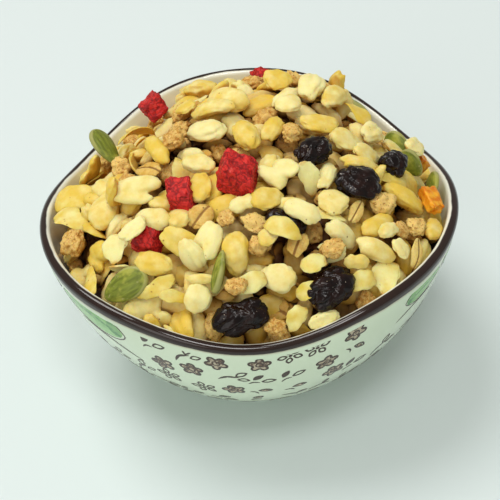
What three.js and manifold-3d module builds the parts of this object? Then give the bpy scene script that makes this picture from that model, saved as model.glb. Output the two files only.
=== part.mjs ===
// A bowl of fruit muesli: a three-cornered glazed rice bowl, heaped with puffed grains, oat flakes
// and toasted clusters, with raisins, strawberry pieces, pumpkin seeds and papaya lying in them.
// Millimetres and degrees, +Z up, standing on Z = 0, with one corner of the bowl towards +Y.

import * as THREE from 'three';
import { mergeVertices } from 'three/addons/utils/BufferGeometryUtils.js';
import Module from 'manifold-3d';

const wasm = await Module();
wasm.setup();

// ---------------------------------------------------------------- driving dimensions

const GAP = 0.4; // clearance between pieces that touch
const WALL_GAP = 0.6; // clearance of the heap to the wall, whose facets cut inside its curve
const SIDES = 48; // facets round the bowl, a multiple of its three corners
const CORNERS = 3;

const BOWL = {
  rimRadius: 57.2, // outer edge of the rim, midway between a corner and a side
  rimHeight: 53.8, // crest of the rim, midway between a corner and a side
  cornerReach: 1.52, // a corner stands out, and a side draws in, by this much
  cornerRise: 3.35, // a corner stands up, and a side dips, by this much
  rimRipple: -0.75, // second wave of the rim, twice to each corner
  wallSweep: 76, // the wall's section is this much of a quarter ellipse
  wallSteps: 7,
  rimWall: 2.9, // thickness at the rim, whose crest is a half circle
  crestSteps: 4,
  baseWall: 4.5, // thickness of the floor
  footRadius: 23.1, // outer radius of the foot ring where it meets the wall
  footHeight: 6,
  footWidth: 3.4,
  footTaper: 0.7, // the ring narrows by this much to its resting face
  footRecess: 5.2, // height of the floor inside the ring
  footEdge: 0.45, // bevel along the ring's resting face
};

const HEAP = {
  fillShare: 0.95, // how far up the wall's section the bare core meets it
  dome: 24.5, // rise of the core from its edge to its middle
  domePower: 2.6, // above 2 the top is flat and the flanks are steep
  ridge: { at: [24, 31], rise: 6.5, spread: 17 }, // the heap stands higher at the back right
  lump: 0.7, // unevenness of the core between its pieces
  rings: 4,
  wallSteps: 4,
};

// The fused pieces, by kind: share of the draw, and [length, width, thickness] at their mean size.
const PIECES = [
  { make: puff, share: 0.56, size: [10.8, 6.4, 5.2] },
  { make: oatFlake, share: 0.22, size: [10.2, 7.0, 2.8] },
  { make: cluster, share: 0.22, size: [9.0, 7.2, 6.0] },
];
const PIECE_COUNT = 126;
const SIZE_SPREAD = 0.22; // a piece is up to this share larger or smaller than its kind
const PIECE_LEAN = 48; // degrees from the lowest to the highest lean
const PIECE_LIFT = [0.12, 0.26]; // least lift of its middle over the core, and the draw on top
const STEPS_INWARDS = { count: 9, inwards: 0.8, upwards: 0.1 };
const DRAWS_A_PLACE = 120;
const TOPPING_REACH = 0.3; // share of a topping's length that counts as taken round its middle
const POCKET_BALL = 1.12; // radius of a coarse ball that holds a unit ball between its facets
const WALL_SEARCH = 14; // halvings of the wall's section in the search for a height
const SEED = 20417;

// The toppings: place over the heap, [length, width, thickness], turn of the length from +X,
// lean about the length and about the width, and how much of the thickness stands over the core.
const TOPPINGS = [
  { name: 'raisin_1', at: [17.6, -8.2], size: [11.6, 8.6, 7.6], turn: 37, proud: 0.8 },
  { name: 'raisin_2', at: [29, -15.8], size: [13.4, 10.6, 6.4], turn: 4, proud: 0.75 },
  { name: 'raisin_3', at: [38.8, -5], size: [9.4, 8.4, 7.4], turn: 60, proud: 0.75 },
  { name: 'raisin_4', at: [9.8, -28.6], size: [11, 8.4, 6.4], turn: -10, proud: 0.6 },
  { name: 'raisin_5', at: [-2.8, -46.4], size: [15.8, 9.8, 8.6], turn: 12, proud: 0.72 },
  { name: 'raisin_6', at: [20, -41.6], size: [13.4, 10.4, 8.0], turn: 34, proud: 0.75 },
  { name: 'raisin_7', at: [20, 46], size: [12.4, 9.6, 6.4], turn: 150, proud: 0.5 },
  { name: 'strawberry_1', at: [-2, -15.8], size: [10.6, 9.4, 9], turn: -22, proud: 0.75 },
  { name: 'strawberry_2', at: [-24.4, 26.6], size: [7.2, 6.6, 7], turn: 35, proud: 0.85 },
  { name: 'strawberry_3', at: [-16.6, -20], size: [7.6, 7, 6.2], turn: -12, proud: 0.7 },
  { name: 'strawberry_4', at: [-26.2, -27.8], size: [7.4, 6.4, 5.6], turn: -18, proud: 0.35 },
  { name: 'strawberry_5', at: [6.5, 48.6], size: [7.6, 6.6, 5.6], turn: 20, proud: 0.55 },
  { name: 'pumpkin_seed_1', at: [-36.8, 11.4], size: [12.6, 6.6, 2.8], turn: 96, lean: [62, -58], proud: 1.9 },
  { name: 'pumpkin_seed_2', at: [-31.4, -37], size: [13.4, 8, 3.2], turn: 14, lean: [10, 4], proud: 0.8 },
  { name: 'pumpkin_seed_3', at: [-7.6, -38.6], size: [11.2, 6.6, 2.8], turn: -104, lean: [74, 0], proud: 1.1 },
  { name: 'pumpkin_seed_4', at: [41.6, 9.4], size: [9.6, 6.2, 2.6], turn: 140, lean: [78, 0], proud: 1.1 },
  { name: 'pumpkin_seed_5', at: [44.2, 0.8], size: [8.6, 6.4, 2.6], turn: 140, lean: [70, 0], proud: 1.1 },
  { name: 'pumpkin_seed_6', at: [49.8, -2], size: [9, 6.2, 2.6], turn: 86, lean: [66, 0], proud: 1.2 },
  { name: 'pumpkin_seed_7', at: [31.5, 38.6], size: [11.6, 6.8, 2.8], turn: -45, lean: [8, 0], proud: 0.9 },
  { name: 'papaya_1', at: [47, 7], size: [6, 4.8, 4.4], turn: 110, proud: 0.9 },
  { name: 'papaya_2', at: [48, -11], size: [8.2, 5, 4.4], turn: 108, proud: 0.9 },
];

const SHAPES = { raisin, strawberry: fruitDice, pumpkin_seed: pumpkinSeed, papaya: fruitDice };
const kindOf = ({ name }) => name.replace(/_\d+$/, '');

const LOOKS = {
  bowl: { color: 0xe6ece0, roughness: 0.16 },
  muesli_heap: { color: 0xe8d08a, roughness: 0.75 },
  raisin: { color: 0x24120f, roughness: 0.4 },
  strawberry: { color: 0xc01a22, roughness: 0.6 },
  pumpkin_seed: { color: 0x6f8430, roughness: 0.45 },
  papaya: { color: 0xe58a1c, roughness: 0.4 },
};

// ---------------------------------------------------------------- small helpers

const radians = THREE.MathUtils.degToRad;

// How the rim leaves a plain circle: the wall's reach and its height, three times round.
const toCorner = (angle) => Math.cos(CORNERS * (angle - Math.PI / 2));
const toRipple = (angle) => Math.cos(2 * CORNERS * (angle - Math.PI / 2));
const stretch = (angle, rise) => 1 + (BOWL.cornerReach / BOWL.rimRadius) * toCorner(angle) * rise;
const rimWave = (angle) => BOWL.cornerRise * toCorner(angle) + BOWL.rimRipple * toRipple(angle);

// A repeatable stream of numbers from 0 to 1.
function seededRandom(seedValue) {
  let state = seedValue;
  return () => {
    state = (state + 0x6d2b79f5) | 0;
    let mixed = Math.imul(state ^ (state >>> 15), 1 | state);
    mixed = (mixed + Math.imul(mixed ^ (mixed >>> 7), 61 | mixed)) ^ mixed;
    return ((mixed ^ (mixed >>> 14)) >>> 0) / 4294967296;
  };
}

// Only positions are kept, shared corners are merged, and faces without area are dropped.
function weld(geometry) {
  const bare = geometry.index ? geometry : geometry.clone();
  bare.deleteAttribute('normal');
  bare.deleteAttribute('uv');
  const merged = mergeVertices(bare, 1e-4);
  const corners = Array.from(merged.index.array);
  const kept = [];
  for (let i = 0; i < corners.length; i += 3) {
    const [a, b, c] = corners.slice(i, i + 3);
    if (a !== b && b !== c && c !== a) kept.push(a, b, c);
  }
  merged.setIndex(kept);
  return merged;
}

function toSolid(geometry) {
  const welded = weld(geometry);
  return new wasm.Manifold(new wasm.Mesh({
    numProp: 3,
    vertProperties: new Float32Array(welded.attributes.position.array),
    triVerts: new Uint32Array(welded.index.array),
  }));
}

function toGeometry(solid) {
  const mesh = solid.getMesh();
  const geometry = new THREE.BufferGeometry();
  geometry.setAttribute('position', new THREE.BufferAttribute(mesh.vertProperties, mesh.numProp));
  geometry.setIndex(new THREE.BufferAttribute(mesh.triVerts, 1));
  geometry.computeVertexNormals();
  return geometry;
}

// Moves every vertex of a geometry by a rule: move(point, index) changes the point.
function reshape(geometry, move) {
  const place = geometry.attributes.position;
  const point = new THREE.Vector3();
  for (let i = 0; i < place.count; i += 1) {
    move(point.fromBufferAttribute(place, i), i);
    place.setXYZ(i, point.x, point.y, point.z);
  }
  return geometry;
}

// ---------------------------------------------------------------- the bowl

const SWEEP = radians(BOWL.wallSweep);
const WALL_REACH = (BOWL.rimRadius - BOWL.footRadius) / Math.sin(SWEEP);
const WALL_RISE = (BOWL.rimHeight - BOWL.rimWall / 2 - BOWL.footHeight) / (1 - Math.cos(SWEEP));

// A point of the wall's section, moved inwards from its outer face and along it. share runs from
// the foot to the rim, and rise is how far the wall has taken on the rim's three corners there.
function wallPoint(share, inwards = 0, along = 0) {
  const turn = share * SWEEP;
  const across = WALL_REACH * Math.cos(turn);
  const upward = WALL_RISE * Math.sin(turn);
  const length = Math.hypot(across, upward);
  return {
    r: BOWL.footRadius + WALL_REACH * Math.sin(turn) + (along * across - inwards * upward) / length,
    z: BOWL.footHeight + WALL_RISE * (1 - Math.cos(turn)) + (along * upward + inwards * across) / length,
    rise: (1 - Math.cos(turn)) / (1 - Math.cos(SWEEP)),
  };
}

const wallThickness = (share) => THREE.MathUtils.lerp(BOWL.baseWall, BOWL.rimWall, Math.sqrt(share));

// A solid turned from a section of wall points, and drawn out to the bowl's three corners.
function turned(section) {
  const profile = section.map((p) => new THREE.Vector2(p.r, p.z));
  const geometry = new THREE.LatheGeometry(profile, SIDES).rotateX(Math.PI / 2);
  return reshape(geometry, (point, index) => {
    const { rise } = section[index % section.length];
    const angle = Math.atan2(point.y, point.x);
    const reach = stretch(angle, rise);
    point.set(point.x * reach, point.y * reach, point.z + rise * rimWave(angle));
  });
}

function bowlSection() {
  const footOutside = BOWL.footRadius - BOWL.footTaper;
  const footInside = footOutside - BOWL.footWidth;
  const crestRadius = BOWL.rimWall / 2;
  const flat = (r, z) => ({ r, z, rise: 0 });
  const section = [
    flat(0, BOWL.footRecess),
    flat(footInside, BOWL.footRecess),
    flat(footInside, BOWL.footEdge),
    flat(footInside + BOWL.footEdge, 0),
    flat(footOutside - BOWL.footEdge, 0),
    flat(footOutside, BOWL.footEdge),
  ];
  for (let i = 0; i <= BOWL.wallSteps; i += 1) section.push(wallPoint(i / BOWL.wallSteps));
  for (let i = 1; i < BOWL.crestSteps; i += 1) {
    const turn = (Math.PI * i) / BOWL.crestSteps;
    section.push(wallPoint(1, crestRadius * (1 - Math.cos(turn)), crestRadius * Math.sin(turn)));
  }
  for (let i = BOWL.wallSteps; i >= 0; i -= 1) {
    const share = i / BOWL.wallSteps;
    section.push(wallPoint(share, wallThickness(share)));
  }
  section.push(flat(0, wallPoint(0, wallThickness(0)).z));
  return section;
}

// ---------------------------------------------------------------- the heap's bare core

const insetPoint = (share) => wallPoint(share, wallThickness(share) + WALL_GAP);
const EDGE = insetPoint(HEAP.fillShare);
const edgeRadius = (angle) => EDGE.r * stretch(angle, EDGE.rise);

// Height of the bare core over a point of the table.
function coreHeight(x, y) {
  const angle = Math.atan2(y, x);
  const share = Math.min(Math.hypot(x, y) / edgeRadius(angle), 1);
  const [ridgeX, ridgeY] = HEAP.ridge.at;
  const fromRidge = Math.hypot(x - ridgeX, y - ridgeY) / HEAP.ridge.spread;
  const ridge = HEAP.ridge.rise * Math.exp(-0.5 * fromRidge ** 2);
  const lump = HEAP.lump * Math.sin(0.31 * x + 1) * Math.sin(0.27 * y + 2);
  return EDGE.z + EDGE.rise * rimWave(angle) * share ** 3
    + HEAP.dome * (1 - share ** HEAP.domePower)
    + (ridge + lump) * (1 - share ** 8);
}

function coreNormal(x, y) {
  const step = 1;
  const slopeX = (coreHeight(x + step, y) - coreHeight(x - step, y)) / (2 * step);
  const slopeY = (coreHeight(x, y + step) - coreHeight(x, y - step)) / (2 * step);
  return new THREE.Vector3(-slopeX, -slopeY, 1).normalize();
}

function heapCore() {
  const section = [{ r: 0, z: insetPoint(0).z, rise: 0 }];
  for (let i = 0; i <= HEAP.wallSteps; i += 1) {
    section.push(insetPoint((HEAP.fillShare * i) / HEAP.wallSteps));
  }
  const edgeIndex = section.length - 1;
  for (let i = 1; i <= HEAP.rings; i += 1) {
    const share = 1 - i / HEAP.rings;
    section.push({ r: EDGE.r * share, z: EDGE.z, rise: EDGE.rise });
  }
  return reshape(turned(section), (point, index) => {
    if (index % section.length > edgeIndex) point.z = coreHeight(point.x, point.y);
  });
}

// ---------------------------------------------------------------- shapes of the pieces
// Each is a unit shape within -1..1: its length along X, width along Y and thickness along Z.

// A puffed grain: a plump spindle with blunt ends and a bend.
function puff(random) {
  const section = [[0, -1], [1, -0.42], [0.88, 0.5], [0, 1]];
  const profile = section.map(([r, z]) => new THREE.Vector2(r, z));
  const bend = 0.45 * random();
  const geometry = new THREE.LatheGeometry(profile, 5).rotateZ(-Math.PI / 2);
  return reshape(geometry, (point) => { point.z -= bend * point.x ** 2; });
}

// A rolled oat: a flat oval with a bevelled edge, slightly curled.
function oatFlake(random) {
  const section = [[0, -0.8], [1, -0.4], [0.84, 0.8], [0, 0.5]];
  const profile = section.map(([r, z]) => new THREE.Vector2(r, z));
  const curl = 0.6 * (random() - 0.3);
  const geometry = new THREE.LatheGeometry(profile, 6).rotateX(Math.PI / 2);
  return reshape(geometry, (point) => { point.z += curl * point.x ** 2; });
}

// A toasted cluster: a knobbly lump.
function cluster(random) {
  const geometry = weld(new THREE.IcosahedronGeometry(1, 0));
  return reshape(geometry, (point) => { point.multiplyScalar(0.82 + 0.36 * random()); });
}

// A raisin: an oval lump folded into long wrinkles.
function raisin(random) {
  const [turnA, turnB, turnC] = [random(), random(), random()].map((v) => v * 2 * Math.PI);
  const geometry = weld(new THREE.SphereGeometry(1, 12, 7).rotateX(Math.PI / 2).rotateY(Math.PI / 2));
  return reshape(geometry, (point) => {
    const round = Math.atan2(point.y, point.z);
    const coarse = Math.sin(3 * round + turnA + 1.4 * point.x);
    const fine = Math.sin(5 * round + turnB - 2.2 * point.x);
    const pinch = 1 + 0.06 * Math.sin(4 * point.x + turnC);
    const swell = pinch * (0.93 + (0.05 * coarse + 0.035 * fine) * (1 - point.x ** 2));
    point.set(point.x * 0.98, point.y * swell, point.z * swell);
  });
}

// A dried fruit dice: a block with uneven faces and worn corners.
function fruitDice(random) {
  const geometry = weld(new THREE.BoxGeometry(2, 2, 2, 2, 2, 2));
  const ballRadius = 1.28; // corners outside this ball are pulled half-way to it
  return reshape(geometry, (point) => {
    const pull = (1 + Math.min(ballRadius / point.length(), 1)) / 2;
    point.multiplyScalar(pull * (0.86 + 0.14 * random()));
  });
}

// A pumpkin seed: a flat drop with a rounded rim.
function pumpkinSeed() {
  const geometry = weld(new THREE.SphereGeometry(1, 12, 5).rotateX(Math.PI / 2));
  return reshape(geometry, (point) => {
    const taper = 1 - 0.34 * Math.max(point.x, 0) ** 1.5 - 0.1 * point.x;
    const rim = Math.sign(point.z) * Math.abs(point.z) ** 0.8;
    point.set(point.x, point.y * Math.min(taper, 1), rim);
  });
}

// ---------------------------------------------------------------- laying the pieces

// The place and turn of a piece that lies on the core at x, y.
function layOnCore({ x, y, turn, lean = [0, 0], lift }) {
  const normal = coreNormal(x, y);
  const upright = new THREE.Quaternion().setFromUnitVectors(new THREE.Vector3(0, 0, 1), normal);
  const own = new THREE.Quaternion().setFromEuler(
    new THREE.Euler(radians(lean[0]), radians(lean[1]), radians(turn), 'ZYX'),
  );
  const place = new THREE.Vector3(x, y, coreHeight(x, y)).addScaledVector(normal, lift);
  return new THREE.Matrix4().compose(place, upright.multiply(own), new THREE.Vector3(1, 1, 1));
}

function sized(shape, [length, width, thickness]) {
  return shape.scale(length / 2, width / 2, thickness / 2);
}

function layTopping(shape, { at: [x, y], size, turn, lean, proud }, growth) {
  const grown = sized(shape, size.map((s) => s + 2 * growth));
  const lift = size[2] * (proud - 0.5);
  return grown.applyMatrix4(layOnCore({ x, y, turn, lean, lift }));
}

const toppingGeometry = (topping, index) => (
  layTopping(weld(SHAPES[kindOf(topping)](seededRandom(SEED + index))), topping, 0)
);

// The pocket that a topping lies in: a plain ball or block round it, with the clearance.
function pocket(topping) {
  const isDice = SHAPES[kindOf(topping)] === fruitDice;
  const hollow = isDice
    ? new THREE.BoxGeometry(2, 2, 2)
    : new THREE.SphereGeometry(POCKET_BALL, 8, 5).rotateX(Math.PI / 2);
  return toSolid(layTopping(hollow, topping, GAP));
}

// Radius that the wall's inner face leaves free at a height, found by halving along the section.
function freeRadius(angle, z) {
  const wave = rimWave(angle);
  let [low, high] = [0, 1];
  for (let i = 0; i < WALL_SEARCH; i += 1) {
    const share = (low + high) / 2;
    const point = insetPoint(share);
    if (point.z + point.rise * wave < z) low = share;
    else high = share;
  }
  const point = insetPoint(low);
  return point.r * stretch(angle, point.rise);
}

function clearOfBowl(geometry) {
  const place = geometry.attributes.position;
  for (let i = 0; i < place.count; i += 1) {
    const [x, y, z] = [place.getX(i), place.getY(i), place.getZ(i)];
    if (Math.hypot(x, y) > freeRadius(Math.atan2(y, x), z)) return false;
  }
  return true;
}

function drawKind(random) {
  let draw = random();
  for (const piece of PIECES) {
    draw -= piece.share;
    if (draw < 0) return piece;
  }
  return PIECES[0];
}

const onCore = (x, y) => new THREE.Vector3(x, y, coreHeight(x, y));

// Places spread evenly over the core: each is the roomiest of several drawn at random, counting
// the toppings and the places before it.
function spreadPlaces(random) {
  const taken = TOPPINGS.map(({ at, size }) => ({ spot: onCore(...at), reach: TOPPING_REACH * size[0] }));
  const places = [];
  for (let i = 0; i < PIECE_COUNT; i += 1) {
    let roomiest = { room: -Infinity };
    for (let draw = 0; draw < DRAWS_A_PLACE; draw += 1) {
      const angle = 2 * Math.PI * random();
      const radius = edgeRadius(angle) * Math.sqrt(random());
      const spot = onCore(radius * Math.cos(angle), radius * Math.sin(angle));
      const room = Math.min(...taken.map((t) => spot.distanceTo(t.spot) - t.reach));
      if (room > roomiest.room) roomiest = { room, angle, radius, spot };
    }
    taken.push({ spot: roomiest.spot, reach: 0 });
    places.push(roomiest);
  }
  return places;
}

// One fused piece. If it would cross the wall it is moved inwards and raised in small steps, and
// if that doesn't free it, it is skipped.
function heapPiece({ angle, radius }, random) {
  const { size, make } = drawKind(random);
  const growth = 1 + SIZE_SPREAD * (2 * random() - 1);
  const turn = 360 * random();
  const lean = [PIECE_LEAN * (random() - 0.5), PIECE_LEAN * (random() - 0.5)];
  const shape = weld(sized(make(random), size.map((s) => s * growth)));
  const lift = size[2] * (PIECE_LIFT[0] + PIECE_LIFT[1] * random());
  for (let step = 0; step < STEPS_INWARDS.count; step += 1) {
    const moved = radius - STEPS_INWARDS.inwards * step;
    const [x, y] = [moved * Math.cos(angle), moved * Math.sin(angle)];
    const raised = lift + STEPS_INWARDS.upwards * step;
    const piece = shape.clone().applyMatrix4(layOnCore({ x, y, turn, lean, lift: raised }));
    if (clearOfBowl(piece)) return toSolid(piece);
  }
  return null;
}

function heapPieces() {
  const random = seededRandom(SEED);
  return spreadPlaces(random).map((place) => heapPiece(place, random)).filter(Boolean);
}

// The core and its pieces in one, with a pocket for each topping. Only the largest body is kept.
function heap() {
  const fused = wasm.Manifold.union([toSolid(heapCore()), ...heapPieces()]);
  const cut = wasm.Manifold.difference([fused, ...TOPPINGS.map(pocket)]);
  const bodies = cut.decompose().sort((a, b) => b.volume() - a.volume());
  return toGeometry(bodies[0]);
}

// ---------------------------------------------------------------- the part

function named(name, geometry, look) {
  const material = new THREE.MeshStandardMaterial({ metalness: 0, ...look });
  const mesh = new THREE.Mesh(geometry, material);
  mesh.name = name;
  return mesh;
}

const bowlGeometry = weld(turned(bowlSection()));
bowlGeometry.computeBoundingBox();

const part = new THREE.Group();
part.name = 'muesli_bowl';
part.add(named('bowl', bowlGeometry, LOOKS.bowl));
part.add(named('muesli_heap', heap(), LOOKS.muesli_heap));
TOPPINGS.forEach((topping, index) => {
  part.add(named(topping.name, toppingGeometry(topping, index), LOOKS[kindOf(topping)]));
});

// The origin is under the middle of the bowl's box: the corner at the back reaches further than
// the side at the front.
part.position.y = -(bowlGeometry.boundingBox.min.y + bowlGeometry.boundingBox.max.y) / 2;

export default part;
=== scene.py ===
"""A bowl of fruit muesli, dressed for the camera.

The sizes below are in millimetres and degrees, on the bowl's own turning axis. Every mesh is laid
in metres, in the row's frame, which lies AXIS_SHIFT to the side of that axis.
"""
import copy
import itertools
import math
from contextlib import contextmanager

import bmesh
import bpy
import numpy as np
from mathutils import Matrix, Vector


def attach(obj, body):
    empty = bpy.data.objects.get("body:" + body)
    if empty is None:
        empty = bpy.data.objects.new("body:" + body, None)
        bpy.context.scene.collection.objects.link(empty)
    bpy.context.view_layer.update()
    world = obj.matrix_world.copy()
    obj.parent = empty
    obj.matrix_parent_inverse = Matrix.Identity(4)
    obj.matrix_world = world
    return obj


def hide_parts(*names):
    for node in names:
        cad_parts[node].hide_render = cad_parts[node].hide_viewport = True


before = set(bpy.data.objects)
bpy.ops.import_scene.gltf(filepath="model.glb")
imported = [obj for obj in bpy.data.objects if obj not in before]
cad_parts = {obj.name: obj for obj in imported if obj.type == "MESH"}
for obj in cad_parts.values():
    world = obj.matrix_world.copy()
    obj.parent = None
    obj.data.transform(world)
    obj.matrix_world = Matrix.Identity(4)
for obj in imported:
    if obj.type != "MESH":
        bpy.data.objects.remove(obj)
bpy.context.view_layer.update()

MM = 0.001
AXIS_SHIFT = np.array([0.0, -1.52, 0.0])

# ---------------------------------------------------------------- the bowl's and the heap's form

CORNERS = 3
RIM_RADIUS, RIM_HEIGHT = 57.2, 53.8
CORNER_REACH, CORNER_RISE, RIM_RIPPLE = 1.52, 3.35, -0.75
SWEEP = math.radians(76)
RIM_WALL, BASE_WALL = 2.9, 4.5
FOOT_RADIUS, FOOT_HEIGHT, FOOT_WIDTH, FOOT_TAPER, FOOT_RECESS = 23.1, 6.0, 3.4, 0.7, 5.2
WALL_REACH = (RIM_RADIUS - FOOT_RADIUS) / math.sin(SWEEP)
WALL_RISE = (RIM_HEIGHT - RIM_WALL / 2 - FOOT_HEIGHT) / (1 - math.cos(SWEEP))
CREST = RIM_WALL / 2

FILL_SHARE, WALL_GAP = 0.95, 0.6
DOME, DOME_POWER = 24.5, 2.6
RIDGE_AT, RIDGE_RISE, RIDGE_SPREAD = (24, 31), 6.5, 17
LUMP_HEIGHT, LUMPS_A_MM = 0.7, (0.31, 0.27)
CORE_DEPTH = 7.6  # the dressed core lies this deep under the muesli's middle surface


def corner_wave(angle):
    return np.cos(CORNERS * (angle - math.pi / 2))


def rim_wave(angle):
    ripple = np.cos(2 * CORNERS * (angle - math.pi / 2))
    return CORNER_RISE * corner_wave(angle) + RIM_RIPPLE * ripple


def stretch(angle, rise):
    return 1 + CORNER_REACH / RIM_RADIUS * corner_wave(angle) * rise


def wall_point(share, inwards=0.0, along=0.0):
    """Radius, height and rise of a point of the wall's section, moved inwards and along it."""
    turn = np.asarray(share) * SWEEP
    across, upward = WALL_REACH * np.cos(turn), WALL_RISE * np.sin(turn)
    length = np.hypot(across, upward)
    r = FOOT_RADIUS + WALL_REACH * np.sin(turn) + (along * across - inwards * upward) / length
    z = FOOT_HEIGHT + WALL_RISE * (1 - np.cos(turn)) + (along * upward + inwards * across) / length
    return r, z, (1 - np.cos(turn)) / (1 - math.cos(SWEEP))


def wall_thickness(share):
    return BASE_WALL + (RIM_WALL - BASE_WALL) * np.sqrt(share)


EDGE_R, EDGE_Z, EDGE_RISE = wall_point(FILL_SHARE, wall_thickness(FILL_SHARE) + WALL_GAP)


def muesli_height(x, y):
    """Height of the muesli's middle surface over a point of the table."""
    angle = np.arctan2(y, x)
    share = np.minimum(np.hypot(x, y) / (EDGE_R * stretch(angle, EDGE_RISE)), 1)
    from_ridge = np.hypot(x - RIDGE_AT[0], y - RIDGE_AT[1]) / RIDGE_SPREAD
    ridge = RIDGE_RISE * np.exp(-0.5 * from_ridge**2)
    lump = LUMP_HEIGHT * np.sin(LUMPS_A_MM[0] * x + 1) * np.sin(LUMPS_A_MM[1] * y + 2)
    return (EDGE_Z + EDGE_RISE * rim_wave(angle) * share**3
            + DOME * (1 - share**DOME_POWER) + (ridge + lump) * (1 - share**8))


def muesli_normal(x, y):
    step = 1.0
    slope_x = (muesli_height(x + step, y) - muesli_height(x - step, y)) / (2 * step)
    slope_y = (muesli_height(x, y + step) - muesli_height(x, y - step)) / (2 * step)
    normal = np.stack([-slope_x, -slope_y, np.ones_like(slope_x)], -1)
    return normal / np.linalg.norm(normal, axis=-1, keepdims=True)


# ---------------------------------------------------------------- modelling helpers

def clear_selection():
    if bpy.context.mode != "OBJECT":
        bpy.ops.object.mode_set(mode="OBJECT")
    bpy.ops.object.select_all(action="DESELECT")


def activate(piece):
    """Selects one piece alone and makes it the active one."""
    clear_selection()
    piece.select_set(True)
    bpy.context.view_layer.objects.active = piece


@contextmanager
def editing():
    """Edit mode on the active piece, with all of it selected at first."""
    bpy.ops.object.mode_set(mode="EDIT")
    bpy.ops.mesh.select_all(action="SELECT")
    yield
    bpy.ops.object.mode_set(mode="OBJECT")


def taken(name):
    """The object that an operator has just added, named."""
    piece = bpy.context.object
    piece.name = name
    piece.data.name = name
    return piece


def points_of(piece):
    points = np.empty(3 * len(piece.data.vertices))
    piece.data.vertices.foreach_get("co", points)
    return points.reshape(-1, 3)


def set_points(piece, points):
    piece.data.vertices.foreach_set("co", np.asarray(points, float).ravel())
    piece.data.update()


def set_points_mm(piece, points):
    """Lays points in the row's frame, from millimetres on the bowl's axis."""
    set_points(piece, (np.asarray(points) + AXIS_SHIFT) * MM)


def faces_of(piece):
    return [tuple(face.vertices) for face in piece.data.polygons]


def taken_apart(piece):
    """The points, with their middle at the origin, and faces of a piece that is then deleted."""
    points, faces = points_of(piece), faces_of(piece)
    points -= (points.min(0) + points.max(0)) / 2
    bpy.data.objects.remove(piece)
    return points, faces


def mark(piece, name, values):
    """Keeps a number or a vector on each point of a piece, for its material."""
    kind, key = ("FLOAT", "value") if np.ndim(values) == 1 else ("FLOAT_VECTOR", "vector")
    attribute = piece.data.attributes.new(name, kind, "POINT")
    attribute.data.foreach_set(key, np.asarray(values).astype(np.float32).ravel())


def apply_modifier(piece, kind, **settings):
    modifier = piece.modifiers.new(kind, kind)
    for key, value in settings.items():
        setattr(modifier, key, value)
    with bpy.context.temp_override(object=piece, active_object=piece, selected_objects=[piece]):
        bpy.ops.object.modifier_apply(modifier=modifier.name)


def lump(piece, lumps):
    """Lumps a piece by textures, each with its strength, that stand still in the scene."""
    for texture, strength in lumps:
        apply_modifier(piece, "DISPLACE", texture=texture, strength=strength, mid_level=0.5,
                       texture_coords="GLOBAL")


def smooth(piece):
    activate(piece)
    bpy.ops.object.shade_smooth()


def tidy_mesh(piece, apart=1e-6):
    """Merges doubles and turns the faces outwards."""
    activate(piece)
    with editing():
        bpy.ops.mesh.remove_doubles(threshold=apart)
        bpy.ops.mesh.normals_make_consistent(inside=False)


def clouds_texture(name, scale, **settings):
    texture = bpy.data.textures.new(name, "CLOUDS")
    texture.noise_scale = scale
    for key, value in settings.items():
        setattr(texture, key, value)
    return texture


def joined(parts):
    """One list of points and one of faces, from several pairs of them."""
    points, faces, start = [], [], 0
    for own, own_faces in parts:
        points.append(own)
        faces += [tuple(v + start for v in face) for face in own_faces]
        start += len(own)
    return np.concatenate(points), faces


def new_object(name, points, faces):
    mesh = bpy.data.meshes.new(name)
    mesh.from_pydata(points, [], faces)
    mesh.update()
    piece = bpy.data.objects.new(name, mesh)
    bpy.context.scene.collection.objects.link(piece)
    return piece


def mesh_piece(name, points, faces, slot):
    """A new piece from arrays, in millimetres on the bowl's axis."""
    piece = new_object(name, (np.asarray(points) + AXIS_SHIFT) * MM, faces)
    ride(piece, slot)
    return piece


def ride(piece, slot, *nodes):
    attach(piece, "root")
    if nodes:
        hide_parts(*nodes)


# ---------------------------------------------------------------- material helpers

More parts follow.
